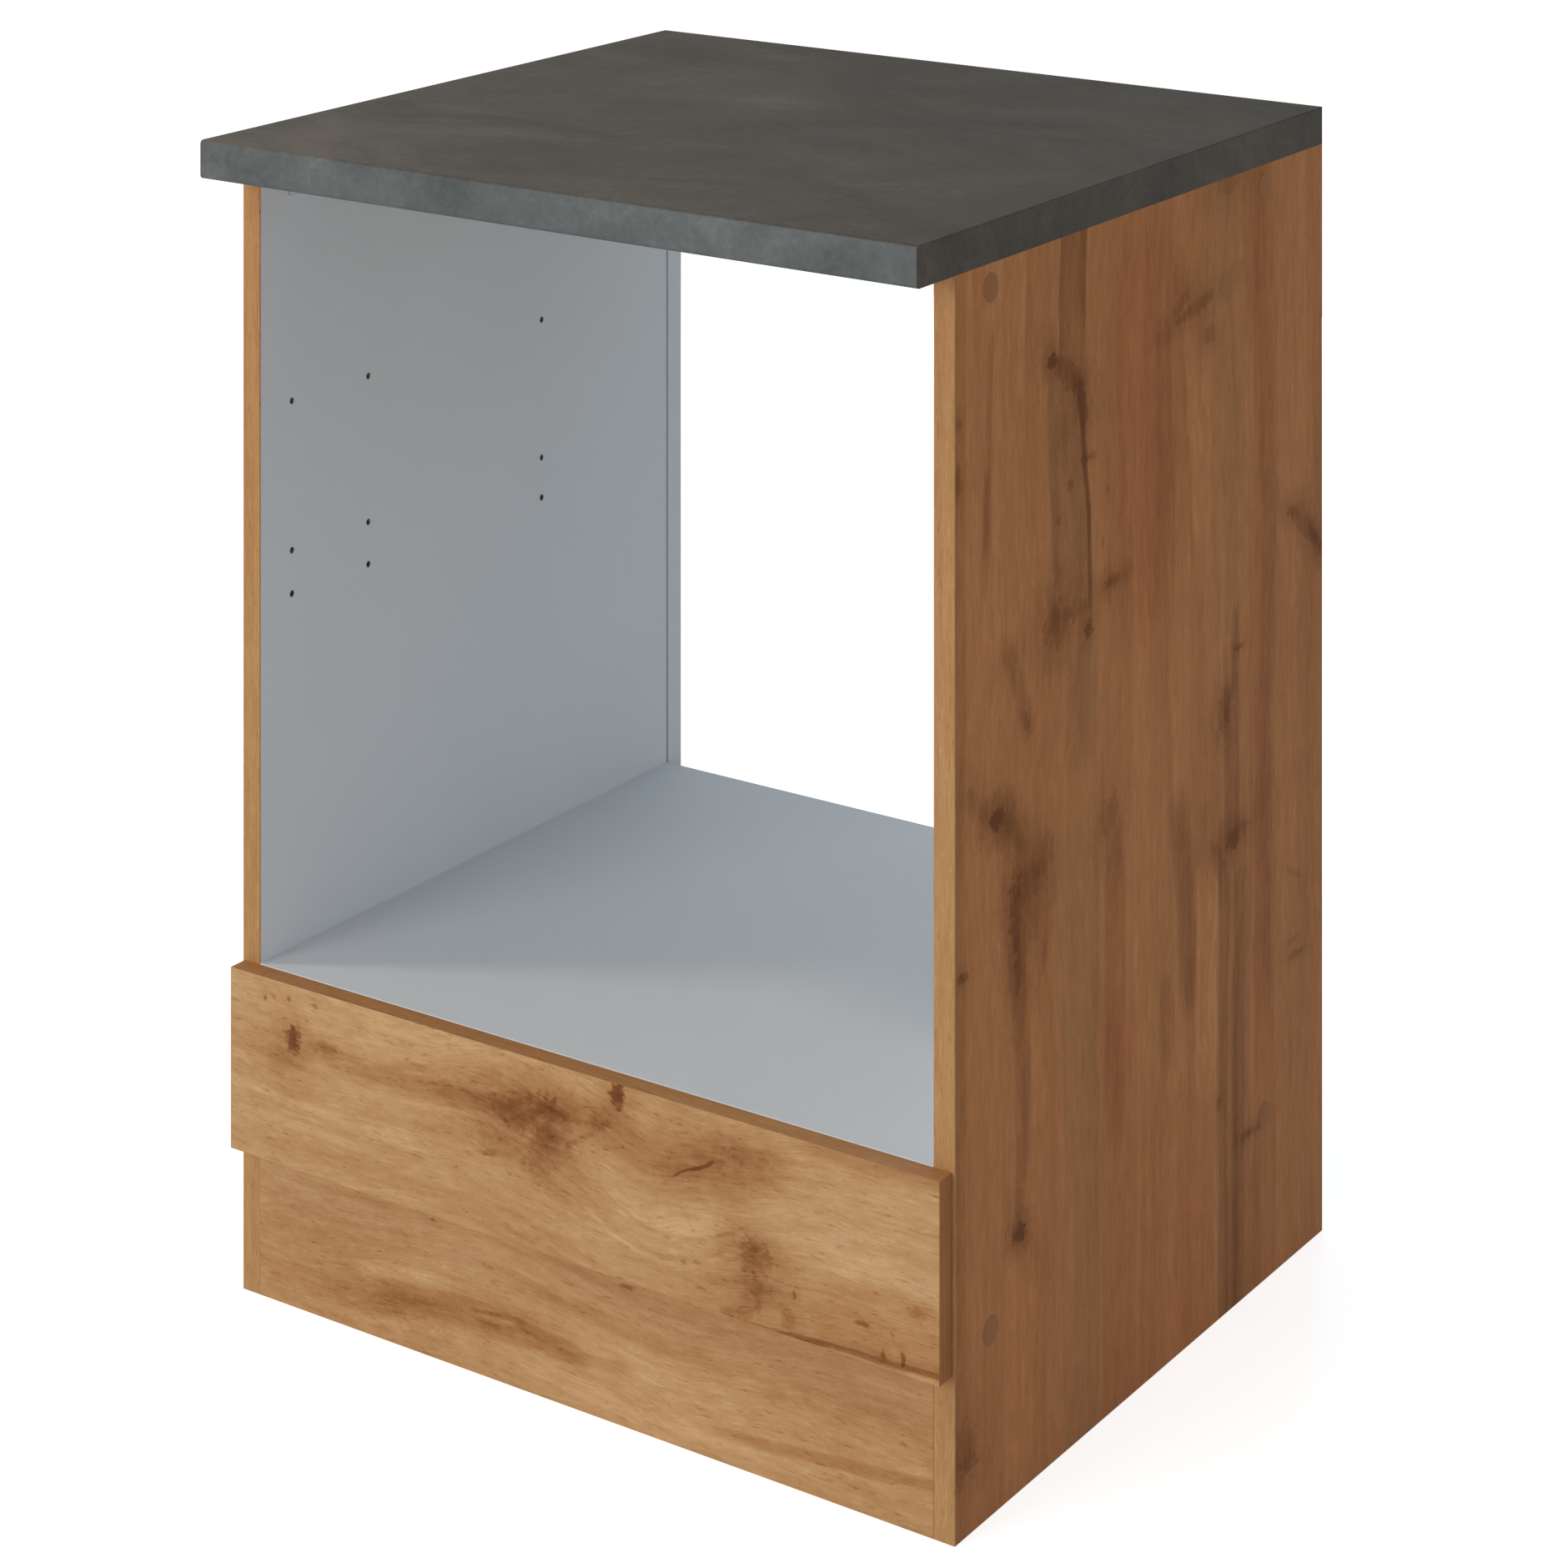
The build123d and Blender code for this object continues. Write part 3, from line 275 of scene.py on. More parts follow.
def oakColour(tree, along, across, other, look):
    # tone = rest - knots - streaks - strips + noise along the grain + light spots - dark ones, then a
    # ramp of browns; the hue is kept apart from it and tints the browns redder or more olive; each mark
    # is summed as soon as it is made, because the renderer can't hold them all at once
    def drift(scales):
        x, y = (calc(tree, "MULTIPLY", place, scale) for place, scale in zip((along, across), scales))
        return centred(tree, noise(tree, vector(tree, x, y, other), 1.0, 2.0))

    wander, shiver = drift(oakNoise["slow"]), drift(oakNoise["quick"])
    flat, turned = vector(tree, along, across, other), vector(tree, across, other, along)
    rags = [
        noise(tree, place, scale, oakNoise["ragDetail"], oakNoise["ragRough"])
        for place, scale in zip((flat, turned), oakNoise["rags"])
    ]
    ragged = [vector(tree, along, across, centred(tree, rag)) for rag in rags]
    edge = calc(tree, "MULTIPLY_ADD", shiver, look["shiver"], across)
    grain = calc(tree, "MULTIPLY_ADD", wander, look["wander"], edge)
    tone = look["rest"]
    hue = 0.5
    for row in look["bends"]:
        middle, line, length, width, push = metres(row)
        halo = knotMark(tree, (flat, flat), middle, line, length, width)["halo"]
        grain = calc(tree, "MULTIPLY_ADD", halo, push, grain)
        edge = calc(tree, "MULTIPLY_ADD", halo, push * look["follow"], edge)
    for row in look["knots"]:
        (middle, line, length, width), (turn, core, halo) = metres(row[:4]), row[4:]
        made = knotMark(tree, ragged, middle, line, length, width, math.radians(turn), look["ragged"])
        tone = total(tree, [(made["core"], -core / 100), (made["halo"], -halo / 100)], tone)
    shaken = vector(tree, along, edge, 1.0)

    def darken(made, depth, warmth):
        darker = total(tree, [(made, -depth / 100)], tone)
        return darker, total(tree, [(made, warmth / 100)], hue) if warmth else hue

    for row in look["streaks"]:
        (begin, end, first, last, bow, width), (depth, warmth) = metres(row[:6]), row[6:]
        length, turn = math.hypot(end - begin, last - first) / 2, math.atan2(last - first, end - begin)
        middle, line = (begin + end) / 2, (first + last) / 2
        made = lineMark(tree, streakGroup, shaken, middle, line, length, width, turn, bow=-bow / width)
        tone, hue = darken(made, depth, warmth)
    for row in look["strips"]:
        (begin, end, low, high, soft), (depth, warmth) = metres(row[:5]), row[5:]
        half, length = (high - low) / 2 + soft, (end - begin) / 2 + oakNoise["stripSpare"]
        middle, line = (begin + end) / 2, (low + high) / 2
        fade = {"calm": max(0.0, 1.0 - oakNoise["stripFade"] / length), "soft": 1.0 - 2 * soft / half}
        made = lineMark(tree, stripGroup, shaken, middle, line, length, half, **fade)
        tone, hue = darken(made, depth, warmth)
    layers = {}
    for name, (alongScale, acrossScale, detail, rough, bent) in oakNoise["layers"].items():
        places = (along, grain if bent else across, other)
        stretched = scaled(tree, places, (alongScale, acrossScale, oakNoise["depthScale"]))
        layers[name] = noise(tree, stretched, 1.0, detail, rough)
    terms = [(centred(tree, layers[name]), look[name]) for name in oakNoise["even"]]
    for name, (begin, full, sign) in oakNoise["spots"].items():
        terms.append((step(tree, layers[name], begin, full), sign * look[name]))
    colour = screenRamp(tree, total(tree, terms, tone), look["browns"])
    hue = total(tree, [(centred(tree, layers["hue"]), look["hue"])], hue)
    olive, red = look["tints"]
    tints = ramp(tree, hue, [(0.0, (*olive, 1.0)), (0.5, (1.0, 1.0, 1.0, 1.0)), (1.0, (*red, 1.0))])
    rough = calc(tree, "MULTIPLY_ADD", layers["fibre"], oakNoise["gloss"], look["rough"])
    return blend(tree, 1.0, colour, tints, "MULTIPLY"), rough, layers["height"]


sideOak = {
    # all marks are in millimetres, then degrees, then hundredths of the tone or of the hue
    # where the grain is pushed aside: middle, line, length, width, push
    "bends": [
        (735, -100, 30, 30, 10), (560, -100, 30, 30, -8), (455, -197, 30, 25, 8), (340, 149, 35, 20, -8),
        (385, -150, 40, 25, 12), (740, 95, 30, 30, 10),
    ],
    # middle, line, length, width, turn, core, halo
    "knots": [
        (741, -122, 5, 5.8, 0, 57, 15), (727, -97, 22.4, 8.4, -55, 30, 13),
        (705, -80, 17.9, 6.2, -20, 28, 7), (692, -105, 10.1, 9, 0, 11, 4), (652, -96, 3.8, 4.5, 0, 23, 2),
        (632, -113, 3.4, 4.5, 0, 16, 2), (637, -43, 3.4, 3.9, 0, 16, 2), (604, -50, 4.5, 2.2, 0, 18, 2),
        (665.5, -71.5, 2.5, 11.8, 0, 25, 4), (562, -115, 14, 17.9, 0, 25, 17),
        (566, -88, 6.7, 16.8, 0, 16, 7), (548, -70, 5.8, 5.4, 0, 44, 11), (573, -37, 5, 9.9, 0, 34, 13),
        (574, -15, 3.4, 15.7, 0, 7, 3), (455, -197, 6.7, 9, 0, 57, 22), (470, -222, 22.4, 7.8, -54, 14, 13),
        (438, -172, 17.9, 6.7, -40, 18, 11), (553, -190, 9, 11.2, 0, 7, 7),
        (507, -157, 10.1, 4, -25, 25, 5), (738, 94, 26.9, 5.2, 80, 28, 13), (747, 70, 15.7, 5, 60, 16, 7),
        (762, 62, 11.2, 6.7, -20, 14, 7), (714, 112, 6.2, 8.5, 0, 23, 9), (818, 140, 9, 15.7, 0, 16, 11),
        (540, 268, 31.4, 5.6, -53, 23, 11), (556, 252, 5.6, 13.4, 0, 16, 7),
        (530, 286, 20.2, 4.5, -35, 21, 7), (477.5, 160, 2.5, 7.8, 0, 30, 4),
        (438, 136, 19, 10.1, 15, 30, 13), (385, -172, 29.1, 7.8, 0, 28, 15),
        (400, -155, 11.2, 16.8, 0, 18, 9), (372, -148, 15.7, 12.3, 0, 9, 11), (357, -166, 22, 9, 0, 14, 7),
        (412, -42, 15, 13, 35, 17, 8), (385, -28, 18, 6, 0, 10, 5), (117, 184, 3, 17, 0, 18, 5),
        (412, -135, 13.4, 13.4, 0, 14, 9), (345, -133, 13.4, 3.4, 15, 14, 4),
        (364.5, -242, 3.4, 6.7, 0, 39, 7), (171, -167, 5.8, 8.7, 0, 55, 20),
        (155, -150, 17.9, 6.7, -38, 11, 9), (193, -168, 14.6, 5.6, 0, 23, 7),
        (55, -238, 17.9, 14.6, 0, 21, 13), (47, -234, 6.7, 9, 0, 16, 4), (688, -250, 11.2, 6.7, 0, 30, 9),
        (725, -248, 4.5, 4.5, 0, 21, 5), (340, 149, 7.2, 8.7, 0, 37, 13), (345, 142, 15, 24, 0, 12, 10),
        (332, 124, 15.7, 9, -35, 21, 7), (345, 166, 4.5, 11.2, 0, 16, 5), (156, 127, 5.6, 5.6, 0, 21, 5),
        (118, 172, 3.9, 9, 0, 25, 5), (224, 256, 2.9, 16.8, 0, 23, 5), (236, 250, 2.2, 11.2, 0, 18, 3),
        (285, 252, 14.6, 2.5, -64, 18, 3),
    ],
    # begin, end, first line, last line, bow, width, depth, warmth
    "streaks": [
        (590, 790, -214, -204, 0, 3.4, 20, 0), (625, 690, -211, -209, 0, 4, 16, 0),
        (545, 735, -70, -82, 3.5, 2.6, 44, 10), (745, 900, -76, -77, 0, 3, 10, 0),
        (492, 570, -150, -190, 3, 6, 18, 0), (535, 725, 86, 73, 0, 2.6, 14, 30),
        (440, 515, 151, 154, 0, 4.5, 26, 0), (190, 380, -166, -172, 8, 7.5, 24, 0),
        (220, 410, 81, 62, 2, 10.5, 34, 0), (200, 285, 48, 42, 0, 8, 16, 10),
        (-200, 330, 146, 151, 2, 5, 12, 0), (250, 345, -152, -150, 0, 2, 12, 30),
        (600, 900, -160, -152, 0, 2, 6, 20), (200, 600, 176, 180, 0, 2.2, 7, 20),
    ],
    # begin, end, low, high, soft, depth, warmth
    "strips": [
        (-200, 1000, -260, -238, 2, 13, 0), (730, 1000, -109, -72, 1.2, 35, -10),
        (560, 742, -124, -70, 2, 19, -35), (440, 560, -102, -60, 3, 16, -35),
        (540, 715, 78, 113, 3, -12, 0), (500, 830, -25, 74, 6, 7, 20), (560, 760, 28, 74, 5, 8, 4),
        (470, 1000, 118, 158, 4, 6, -30), (680, 1000, 165, 205, 3, 9, 14), (430, 720, 194, 222, 3, 10, 12),
        (450, 1000, 228, 275, 5, -6, 0), (480, 720, 284, 310, 3, 13, 0), (-200, 440, -107, -55, 2, 9, -36),
        (-200, 130, -60, -50, 2, -7, -10), (170, 420, -47, -17, 3, 18, 10), (-200, 300, -52, 0, 2, 7, 22),
        (150, 365, 90, 124, 3, -14, 0), (-200, 340, 123, 177, 2, 13, -15), (-200, 345, 126, 141, 2, 22, 0),
        (-200, 330, 149, 168, 2, 18, 0), (330, 465, 134, 157, 2, 27, 0), (180, 460, 182, 212, 3, 12, 14),
        (100, 310, 243, 272, 5, 7, -20), (-200, 125, 177, 196, 3, 17, 0), (-200, 95, 138, 157, 2, 12, 0),
        (-200, 210, 2, 116, 6, 4, 25), (520, 1000, -52, 60, 6, 7, 12), (-200, 1000, 184, 218, 3, 7, 8),
        (560, 1000, 50, 170, 30, 3, 0), (-200, 1000, 170, 340, 30, 7, 0), (400, 560, 195, 300, 10, 5, 0),
        (660, 860, 190, 300, 10, 4, 0), (500, 680, -235, -135, 10, -5, 0),
    ],
    "wander": 0.02, "shiver": 0.004, "follow": 0.3, "ragged": 2.2, "wide": 0.4, "narrow": 0.34,
    "fibre": 0.34, "mottle": 0.34, "flecks": 0.1, "bright": 0.04, "pores": 0.12,
    "rest": 0.81, "hue": 0.36, "rough": 0.5,
    # a darker, more orange copy of the front's browns: painted warm shade on the outer side faces
    "browns": [
        (0.0, (114, 63, 24)), (0.25, (139, 85, 42)), (0.5, (164, 106, 62)),
        (0.74, (188, 125, 77)), (0.88, (200, 135, 85)), (1.0, (213, 149, 96)),
    ],
    "tints": ((0.95, 1.025, 1.08), (1.05, 0.93, 0.88)),
}

frontOak = {
    "bends": [
        (68, 165, 50, 34, 26), (-165, 200, 45, 20, 8), (155, 172, 26, 18, -14), (-60, 45, 45, 26, -12),
        (-20, 200, 30, 30, -14), (25, 30, 40, 20, 6),
    ],
    "knots": [
        (-239, 203, 6.6, 9, 0, 48, 14), (-212, 203.5, 13, 4, 6, 22, 6), (-252, 184, 12, 10, -35, 11, 9),
        (-30, 204, 26, 13, 6, 12, 8), (-6, 196, 17, 20, 20, 12, 6), (-18, 178, 14, 19, -14, 12, 6),
        (12, 216, 34, 10, 8, 8, 5), (30, 212, 7.5, 5.5, 0, 16, 5), (-52, 190, 26, 11, 28, 10, 5),
        (-64, 166.5, 9, 2.4, 10, 24, 3), (-90, 205, 36, 6, 6, 6, 5), (46, 234, 6.4, 8.5, 10, 56, 16),
        (140, 221, 26, 7.5, -6, 12, 8), (108, 206, 30, 13, 25, 10, 8), (156, 154, 13, 12, 20, 24, 17),
        (158, 130, 4.5, 12, 0, 10, 5), (142, 113, 12, 3.5, 10, 22, 6), (183, 120, 5, 8, 0, 18, 5),
        (240, 134, 5.5, 2, -5, 30, 4), (282, 152, 6, 3.6, 0, 20, 5), (188, 138, 1.6, 3, 0, 26, 3),
        (110, 138, 4, 1.4, 10, 24, 3), (100, 135.5, 1.8, 1.6, 0, 26, 3), (256, 118, 1.8, 3.4, 0, 26, 3),
        (271, 119, 1.8, 5, 0, 30, 4), (263, 133, 1.4, 2, 0, 20, 3), (-265, 226.8, 1.8, 1.8, 0, 34, 4),
        (-257, 229, 1.6, 1.6, 0, 26, 4), (-243, 230.5, 1.8, 2.2, 0, 30, 4),
        (-218.5, 232, 2.4, 1.8, 0, 32, 4), (-125, 30, 52, 11, 10, 5, 6), (-150, 29, 26, 7, 10, 6, 3),
        (-225, 42, 35, 20, 20, 2, 9), (-130, 44, 50, 8, 12, 4, 4), (42, 96.5, 7.5, 1.7, 0, 36, 4),
        (236, 53, 48, 20, 0, 5, 7), (-125, 97.5, 3, 1.2, 0, 30, 3), (290, 45, 4, 11, 0, 8, 5),
    ],
    "streaks": [
        (90, 110, 193, 204, 1.5, 0.8, 28, 0), (105, 125, 202, 213, -1, 1.1, 34, 0),
        (120, 186, 152, 156, 12, 6, 13, 10), (135, 182, 140, 146, -6, 4, 6, 0),
        (115, 345, 110, 117.5, -1, 1.8, 30, 0), (170, 345, 112, 118.5, 1, 3.6, 12, 0),
        (-235, -10, 204, 208, -8, 6, 17, 10), (20, 190, 222, 226, -20, 12, 15, 10),
        (0, 200, 196, 206, -36, 10, -10, 0), (0, 180, 176, 176, -36, 1.8, 5, 0),
        (10, 170, 186, 190, -34, 1.2, 10, 0), (10, 150, 160, 160, -24, 1.4, -12, 0),
        (180, 340, 238, 244, -3, 4, 20, 10), (-320, -120, 150, 140, 4, 5, 8, 0),
        (-300, 20, 128, 118, 3, 7, 8, 0), (-320, -180, 186, 180, 4, 2, 7, 0),
        (-205, 10, 19, 42, 8, 9.5, 13, 10), (-95, -40, 40, 45, 2, 1.4, 18, 0),
        (-90, -62, 34, 36, 1, 0.9, 8, 0), (-60, 15, 43, 34, 2, 4, 13, 0),
        (-34, -10, 180, 208, 3, 2.4, -10, 0), (-20, -2, 172, 200, 4, 2.4, 7, 0),
        (-150, -115, 207, 212, 1, 2.4, 14, 0), (-50, -18, 196, 216, 0, 2, -10, 0),
        (0, 30, 188, 208, 0, 1.8, 12, 0), (-95, 10, 26, 33, 6, 6, 12, 0), (-20, 50, 32, 40, 0, 3.5, 14, 0),
        (-200, -100, 43, 52, 2, 4.5, -12, 0), (100, 340, 18, 40, -1, 3.4, 20, 0),
        (-100, 140, 72, 62, 2, 5, 7, 0), (-280, 120, 92, 96, 2, 2.4, 5, 0), (60, 220, 12, 16, 0, 3, -7, 0),
    ],
    "strips": [
        (-200, 150, 128, 156, 4, 4, 0), (40, 400, 118, 140, 4, 6, 0), (-60, 400, 60, 100, 8, 6, 0),
        (170, 310, 165, 225, 10, -6, 0), (180, 400, 118, 156, 8, 9, 30),
        (-340, -120, 135, 260, 15, -3, -15), (0, 130, 132, 164, 8, -6, 0),
    ],
    "wander": 0.036, "shiver": 0.003, "follow": 0.2, "ragged": 2.2, "wide": 0.4, "narrow": 0.28,
    "fibre": 0.26, "mottle": 0.34, "flecks": 0.24, "bright": 0.06, "pores": 0.1,
    "rest": 0.79, "hue": 0.5, "rough": 0.42,
    "browns": [
        (0.0, (96, 52, 20)), (0.25, (133, 84, 44)), (0.45, (162, 113, 69)),
        (0.64, (180, 134, 89)), (0.82, (195, 153, 107)), (1.0, (212, 172, 127)),
    ],
    "tints": ((0.98, 1.01, 1.03), (1.03, 0.96, 0.92)),
}

bandOak = {
    # the one strip darkens and reddens the upright bands from about 500 mm up: painted shade towards the
    # worktop; on the front bands it lies outside the board
    "bends": [], "knots": [], "streaks": [], "strips": [(500, 1200, -400, 400, 10, 6, 15)],
    "wander": 0.004, "shiver": 0.001, "follow": 0.0, "ragged": 0.0, "wide": 0.16, "narrow": 0.3,
    "fibre": 0.3, "mottle": 0.14, "flecks": 0.14, "bright": 0.08, "pores": 0.14,
    "rest": 0.74, "hue": 0.3, "rough": 0.4,
    "browns": frontOak["browns"], "tints": frontOak["tints"],
}


greyLook = {
    # the inner faces of the sides take a lighter copy of the grey: painted light
    "colour": (222, 224, 227), "litSideColour": (236, 238, 241), "rough": 0.5, "gloss": 0.12,
    "cloudScale": 7.0, "cloudDepth": 0.94, "pearlScale": 1400.0, "pearlHeight": 0.2,
}


def dimmed(colour, share):
    return tuple(part * share for part in colour[:3]) + (1.0,)


def greyColour(tree, place, tone="colour"):
    # an even light grey with a faint cloud and the fine pearl grain of melamine
    cloud = noise(tree, place, greyLook["cloudScale"], 3.0)
    pearl = noise(tree, place, greyLook["pearlScale"], 2.0, 0.6)
    base = srgb(*greyLook[tone])
    colour = blend(tree, cloud, dimmed(base, greyLook["cloudDepth"]), base)
    rough = calc(tree, "MULTIPLY_ADD", pearl, greyLook["gloss"], greyLook["rough"])
    return colour, rough, calc(tree, "MULTIPLY", pearl, greyLook["pearlHeight"])


chipLook = {
    "coarse": 420.0, "fine": 900.0, "gaps": -0.35, "rough": 0.85, "sideRough": 0.8,
    "browns": [(0.0, (120, 90, 60)), (0.35, (164, 130, 92)), (0.7, (194, 162, 120)), (1.0, (214, 188, 148))],
}


def cells(tree, place, scale):
    return add(tree, "ShaderNodeTexVoronoi", {"Vector": place, "Scale": scale}, feature="F1").outputs


def cellShade(tree, made):
    # one random shade for the whole of each cell
    return add(tree, "ShaderNodeSeparateColor", {0: made["Color"]}).outputs[0]


def chipColour(tree, place, rough="rough"):
    # flakes from two layers of cells, with dark gaps between them
    coarse, fine = (cells(tree, place, chipLook[name]) for name in ("coarse", "fine"))
    shade = cellShade(tree, coarse)
    shade = calc(tree, "MULTIPLY_ADD", fine["Distance"], chipLook["gaps"], shade, clamp=True)
    height = calc(tree, "MULTIPLY", coarse["Distance"], -1.0)
    return screenRamp(tree, shade, chipLook["browns"]), chipLook[rough], height


worktopLook = {
    "tones": [(0.0, (62, 62, 60)), (0.3, (84, 86, 84)), (0.62, (103, 105, 103)), (1.0, (130, 131, 128))],
    # tints of the tone: the top is painted darker and warmer, the front edge lighter and cooler, and the ends
    # darker and warmer still: painted light and shade by face
    "top": (0.757, 0.65, 0.57), "front": (1.02, 1.06, 1.1), "ends": (0.9, 0.76, 0.67),
    "stretch": (6.5, 8.5, 8.5), "shift": (0.31, 0.07, 0.0), "edge": (0.8485, 0.8496),
    # scale, detail, roughness and bend of each noise, and its share of the tone
    "clouds": (1.0, 5.0, 0.62, 0.7), "patches": (3.4, 4.0, 0.6, 0.3), "specks": (170.0, 4.0, 0.7),
    "pits": (260.0, 2.0), "shares": (1.05, 0.65, 0.5, -0.26), "pitLimits": (0.68, 0.78),
    # painted shade: the tone falls over x and over y, darker towards the right and the rear of the top: the
    # edge's part and the part everywhere
    "shadeSlopes": ((0.72, -0.42), (0.5, -0.5)), "rough": 0.5, "gloss": 0.25,
}


def concreteFinish(name, top, front):
    # clouds at three sizes with small pits; the front edge is painted lighter and cooler than the top, and
    # the top darker and warmer: painted light and shade by face
    material, tree, place, (x, y, z) = start(name)
    moved = vectorMath(tree, "ADD", place, worktopLook["shift"])
    drawn = vectorMath(tree, "MULTIPLY", moved, worktopLook["stretch"])
    clouds, patches = (noise(tree, drawn, *worktopLook[name]) for name in ("clouds", "patches"))
    specks, pits = (noise(tree, place, *worktopLook[name]) for name in ("specks", "pits"))
    pits = step(tree, pits, *worktopLook["pitLimits"])
    edge = step(tree, z, *worktopLook["edge"], 1.0, 0.0)
    shadeSlopeX, shadeSlopeY = (calc(tree, "MULTIPLY_ADD", edge, *parts) for parts in worktopLook["shadeSlopes"])
    # painted shade falling over x and y
    shadeSlope = calc(tree, "MULTIPLY_ADD", y, shadeSlopeY, calc(tree, "MULTIPLY", x, shadeSlopeX))
    parts = [centred(tree, part) for part in (clouds, patches, specks)] + [pits]
    tone = total(tree, zip(parts, worktopLook["shares"]), shadeSlope)
    tone = calc(tree, "ADD", tone, 0.5, clamp=True)
    # painted light and shade: the top's tint on the top, the front's tint on the edge faces
    tint = blend(tree, edge, (*top, 1.0), (*front, 1.0))
    colour = blend(tree, 1.0, screenRamp(tree, tone, worktopLook["tones"]), tint, "MULTIPLY")
    rough = calc(tree, "MULTIPLY_ADD", patches, worktopLook["gloss"], worktopLook["rough"])
    height = total(tree, [(specks, 0.5), (pits, -1.0)])
    close(tree, colour, rough, height, 0.00012, 0.05)
    return material


limits = {
    # metres at which the finish of a piece changes: its outer and inner faces, edges and grooves
    "outerFace": 0.29975, "innerFace": 0.2842, "groove": (0.2775, 0.2815),
    "frontRear": (-0.2525, -0.25215), "plinthRear": -0.25,
    "bandFace": -0.268, "bandRightEnd": 0.2975, "boardRear": 0.2779,
    "backRear": 0.2795, "drawerUnder": 0.156, "drawerRear": 0.25,
}
bandTints = {
    "upright": (0.94, 0.89, 0.82, 1.0), "front": (0.92, 0.76, 0.63, 1.0), "rightEndShade": (0.84, 0.6, 0.48, 1.0),
}
boardDepth, bandDepth = 0.00012, 0.00008  # metres of relief


def sideFinish():
    # oak on the outer faces, grey on the inner ones and in the rear groove, chipboard on edges and in holes;
    # the grey is a lighter copy, painted light, and in the groove it stands where chipboard would be: painted
    # light in the recess
    material, tree, place, (x, y, z) = start("sideOak")
    away = calc(tree, "ABSOLUTE", x)
    outside = calc(tree, "GREATER_THAN", away, limits["outerFace"])
    inside = calc(tree, "LESS_THAN", away, limits["innerFace"])
    # painted light: the groove takes the lighter grey
    inside = calc(tree, "MAXIMUM", inside, between(tree, y, *limits["groove"]))
    oak = oakColour(tree, z, y, x, sideOak)
    # painted light: the lighter grey on the inner faces
    grey, chips = greyColour(tree, place, "litSideColour"), chipColour(tree, place, "sideRough")
    close(tree, *over(tree, outside, oak, over(tree, inside, grey, chips)), boardDepth, 0.08)
    return material


def frontFinish():
    # oak on the front faces of drawer front and plinth, grey on their rear faces
    material, tree, place, (x, y, z) = start("frontOak")
    oak = oakColour(tree, x, z, y, frontOak)
    grey = greyColour(tree, place)
    rear = calc(tree, "GREATER_THAN", y, limits["plinthRear"])
    rear = calc(tree, "MAXIMUM", between(tree, y, *limits["frontRear"]), rear)
    colour, rough = blend(tree, rear, oak[0], grey[0]), mixNumber(tree, rear, oak[1], grey[1])
    close(tree, colour, rough, oak[2], boardDepth)
    return material


def uprightBandFinish():
    material, tree, place, (x, y, z) = start("oakBandUpright")
    colour, rough, height = oakColour(tree, z, x, y, bandOak)
    colour = blend(tree, 1.0, colour, bandTints["upright"], "MULTIPLY")
    close(tree, colour, rough, height, bandDepth)
    return material


def frontBandFinish():
    # the front's own decor where a band ends in the front face, band oak elsewhere, with painted shade
    # darkening the right end most
    material, tree, place, (x, y, z) = start("oakBandFront")
    oak = oakColour(tree, x, z, y, frontOak)
    band = oakColour(tree, x, y, z, bandOak)
    end = calc(tree, "GREATER_THAN", x, limits["bandRightEnd"])
    # painted shade: the darkest tint on the right end
    tint = blend(tree, end, bandTints["front"], bandTints["rightEndShade"])
    tinted = blend(tree, 1.0, band[0], tint, "MULTIPLY")
    face = calc(tree, "LESS_THAN", y, limits["bandFace"])
    close(tree, blend(tree, face, tinted, oak[0]), band[1], band[2], bandDepth, 0.03)
    return material


def greyFinish():
    material, tree, place, axes = start("greyMelamine")
    close(tree, *greyColour(tree, place), 0.0001)
    return material


def boardFinish():
    # grey on the broad faces of a lying board, chipboard on its rear edge
    material, tree, place, (x, y, z) = start("greyBoard")
    rear = calc(tree, "GREATER_THAN", y, limits["boardRear"])
    close(tree, *over(tree, rear, chipColour(tree, place), greyColour(tree, place)), boardDepth)
    return material


def chipFinish():
    material, tree, place, axes = start("chipboard")
    close(tree, *chipColour(tree, place), 0.0003)
    return material


fibreLook = {
    "felt": (600.0, 4.0, 0.7), "cloud": (25.0, 3.0), "shares": (0.7, 0.4), "rough": 0.8,
    "browns": [(0.2, (110, 80, 54)), (0.8, (152, 118, 84))],
}


def fibreFinish():
    # a printed grey face and a brown felted one: the back's rear and the drawer bottom's underside
    material, tree, place, (x, y, z) = start("fibreboard")
    felt, cloud = (noise(tree, place, *fibreLook[name]) for name in ("felt", "cloud"))
    tone = total(tree, zip([centred(tree, felt), centred(tree, cloud)], fibreLook["shares"]), 0.5)
    brown = screenRamp(tree, tone, fibreLook["browns"])
    grey = greyColour(tree, place)
    rear = calc(tree, "GREATER_THAN", y, limits["backRear"])
    under = calc(tree, "LESS_THAN", z, limits["drawerUnder"])
    under = calc(tree, "MULTIPLY", under, calc(tree, "LESS_THAN", y, limits["drawerRear"]))
    raw = calc(tree, "MAXIMUM", rear, under)
    rough = mixNumber(tree, raw, grey[1], fibreLook["rough"])
    close(tree, blend(tree, raw, grey[0], brown), rough, felt, 0.0001)
    return material


metalLook = {"scratches": (500.0, 3.0, 0.6), "tones": (0.12, 0.16), "brightness": 0.9, "gloss": (0.1, 0.12)}


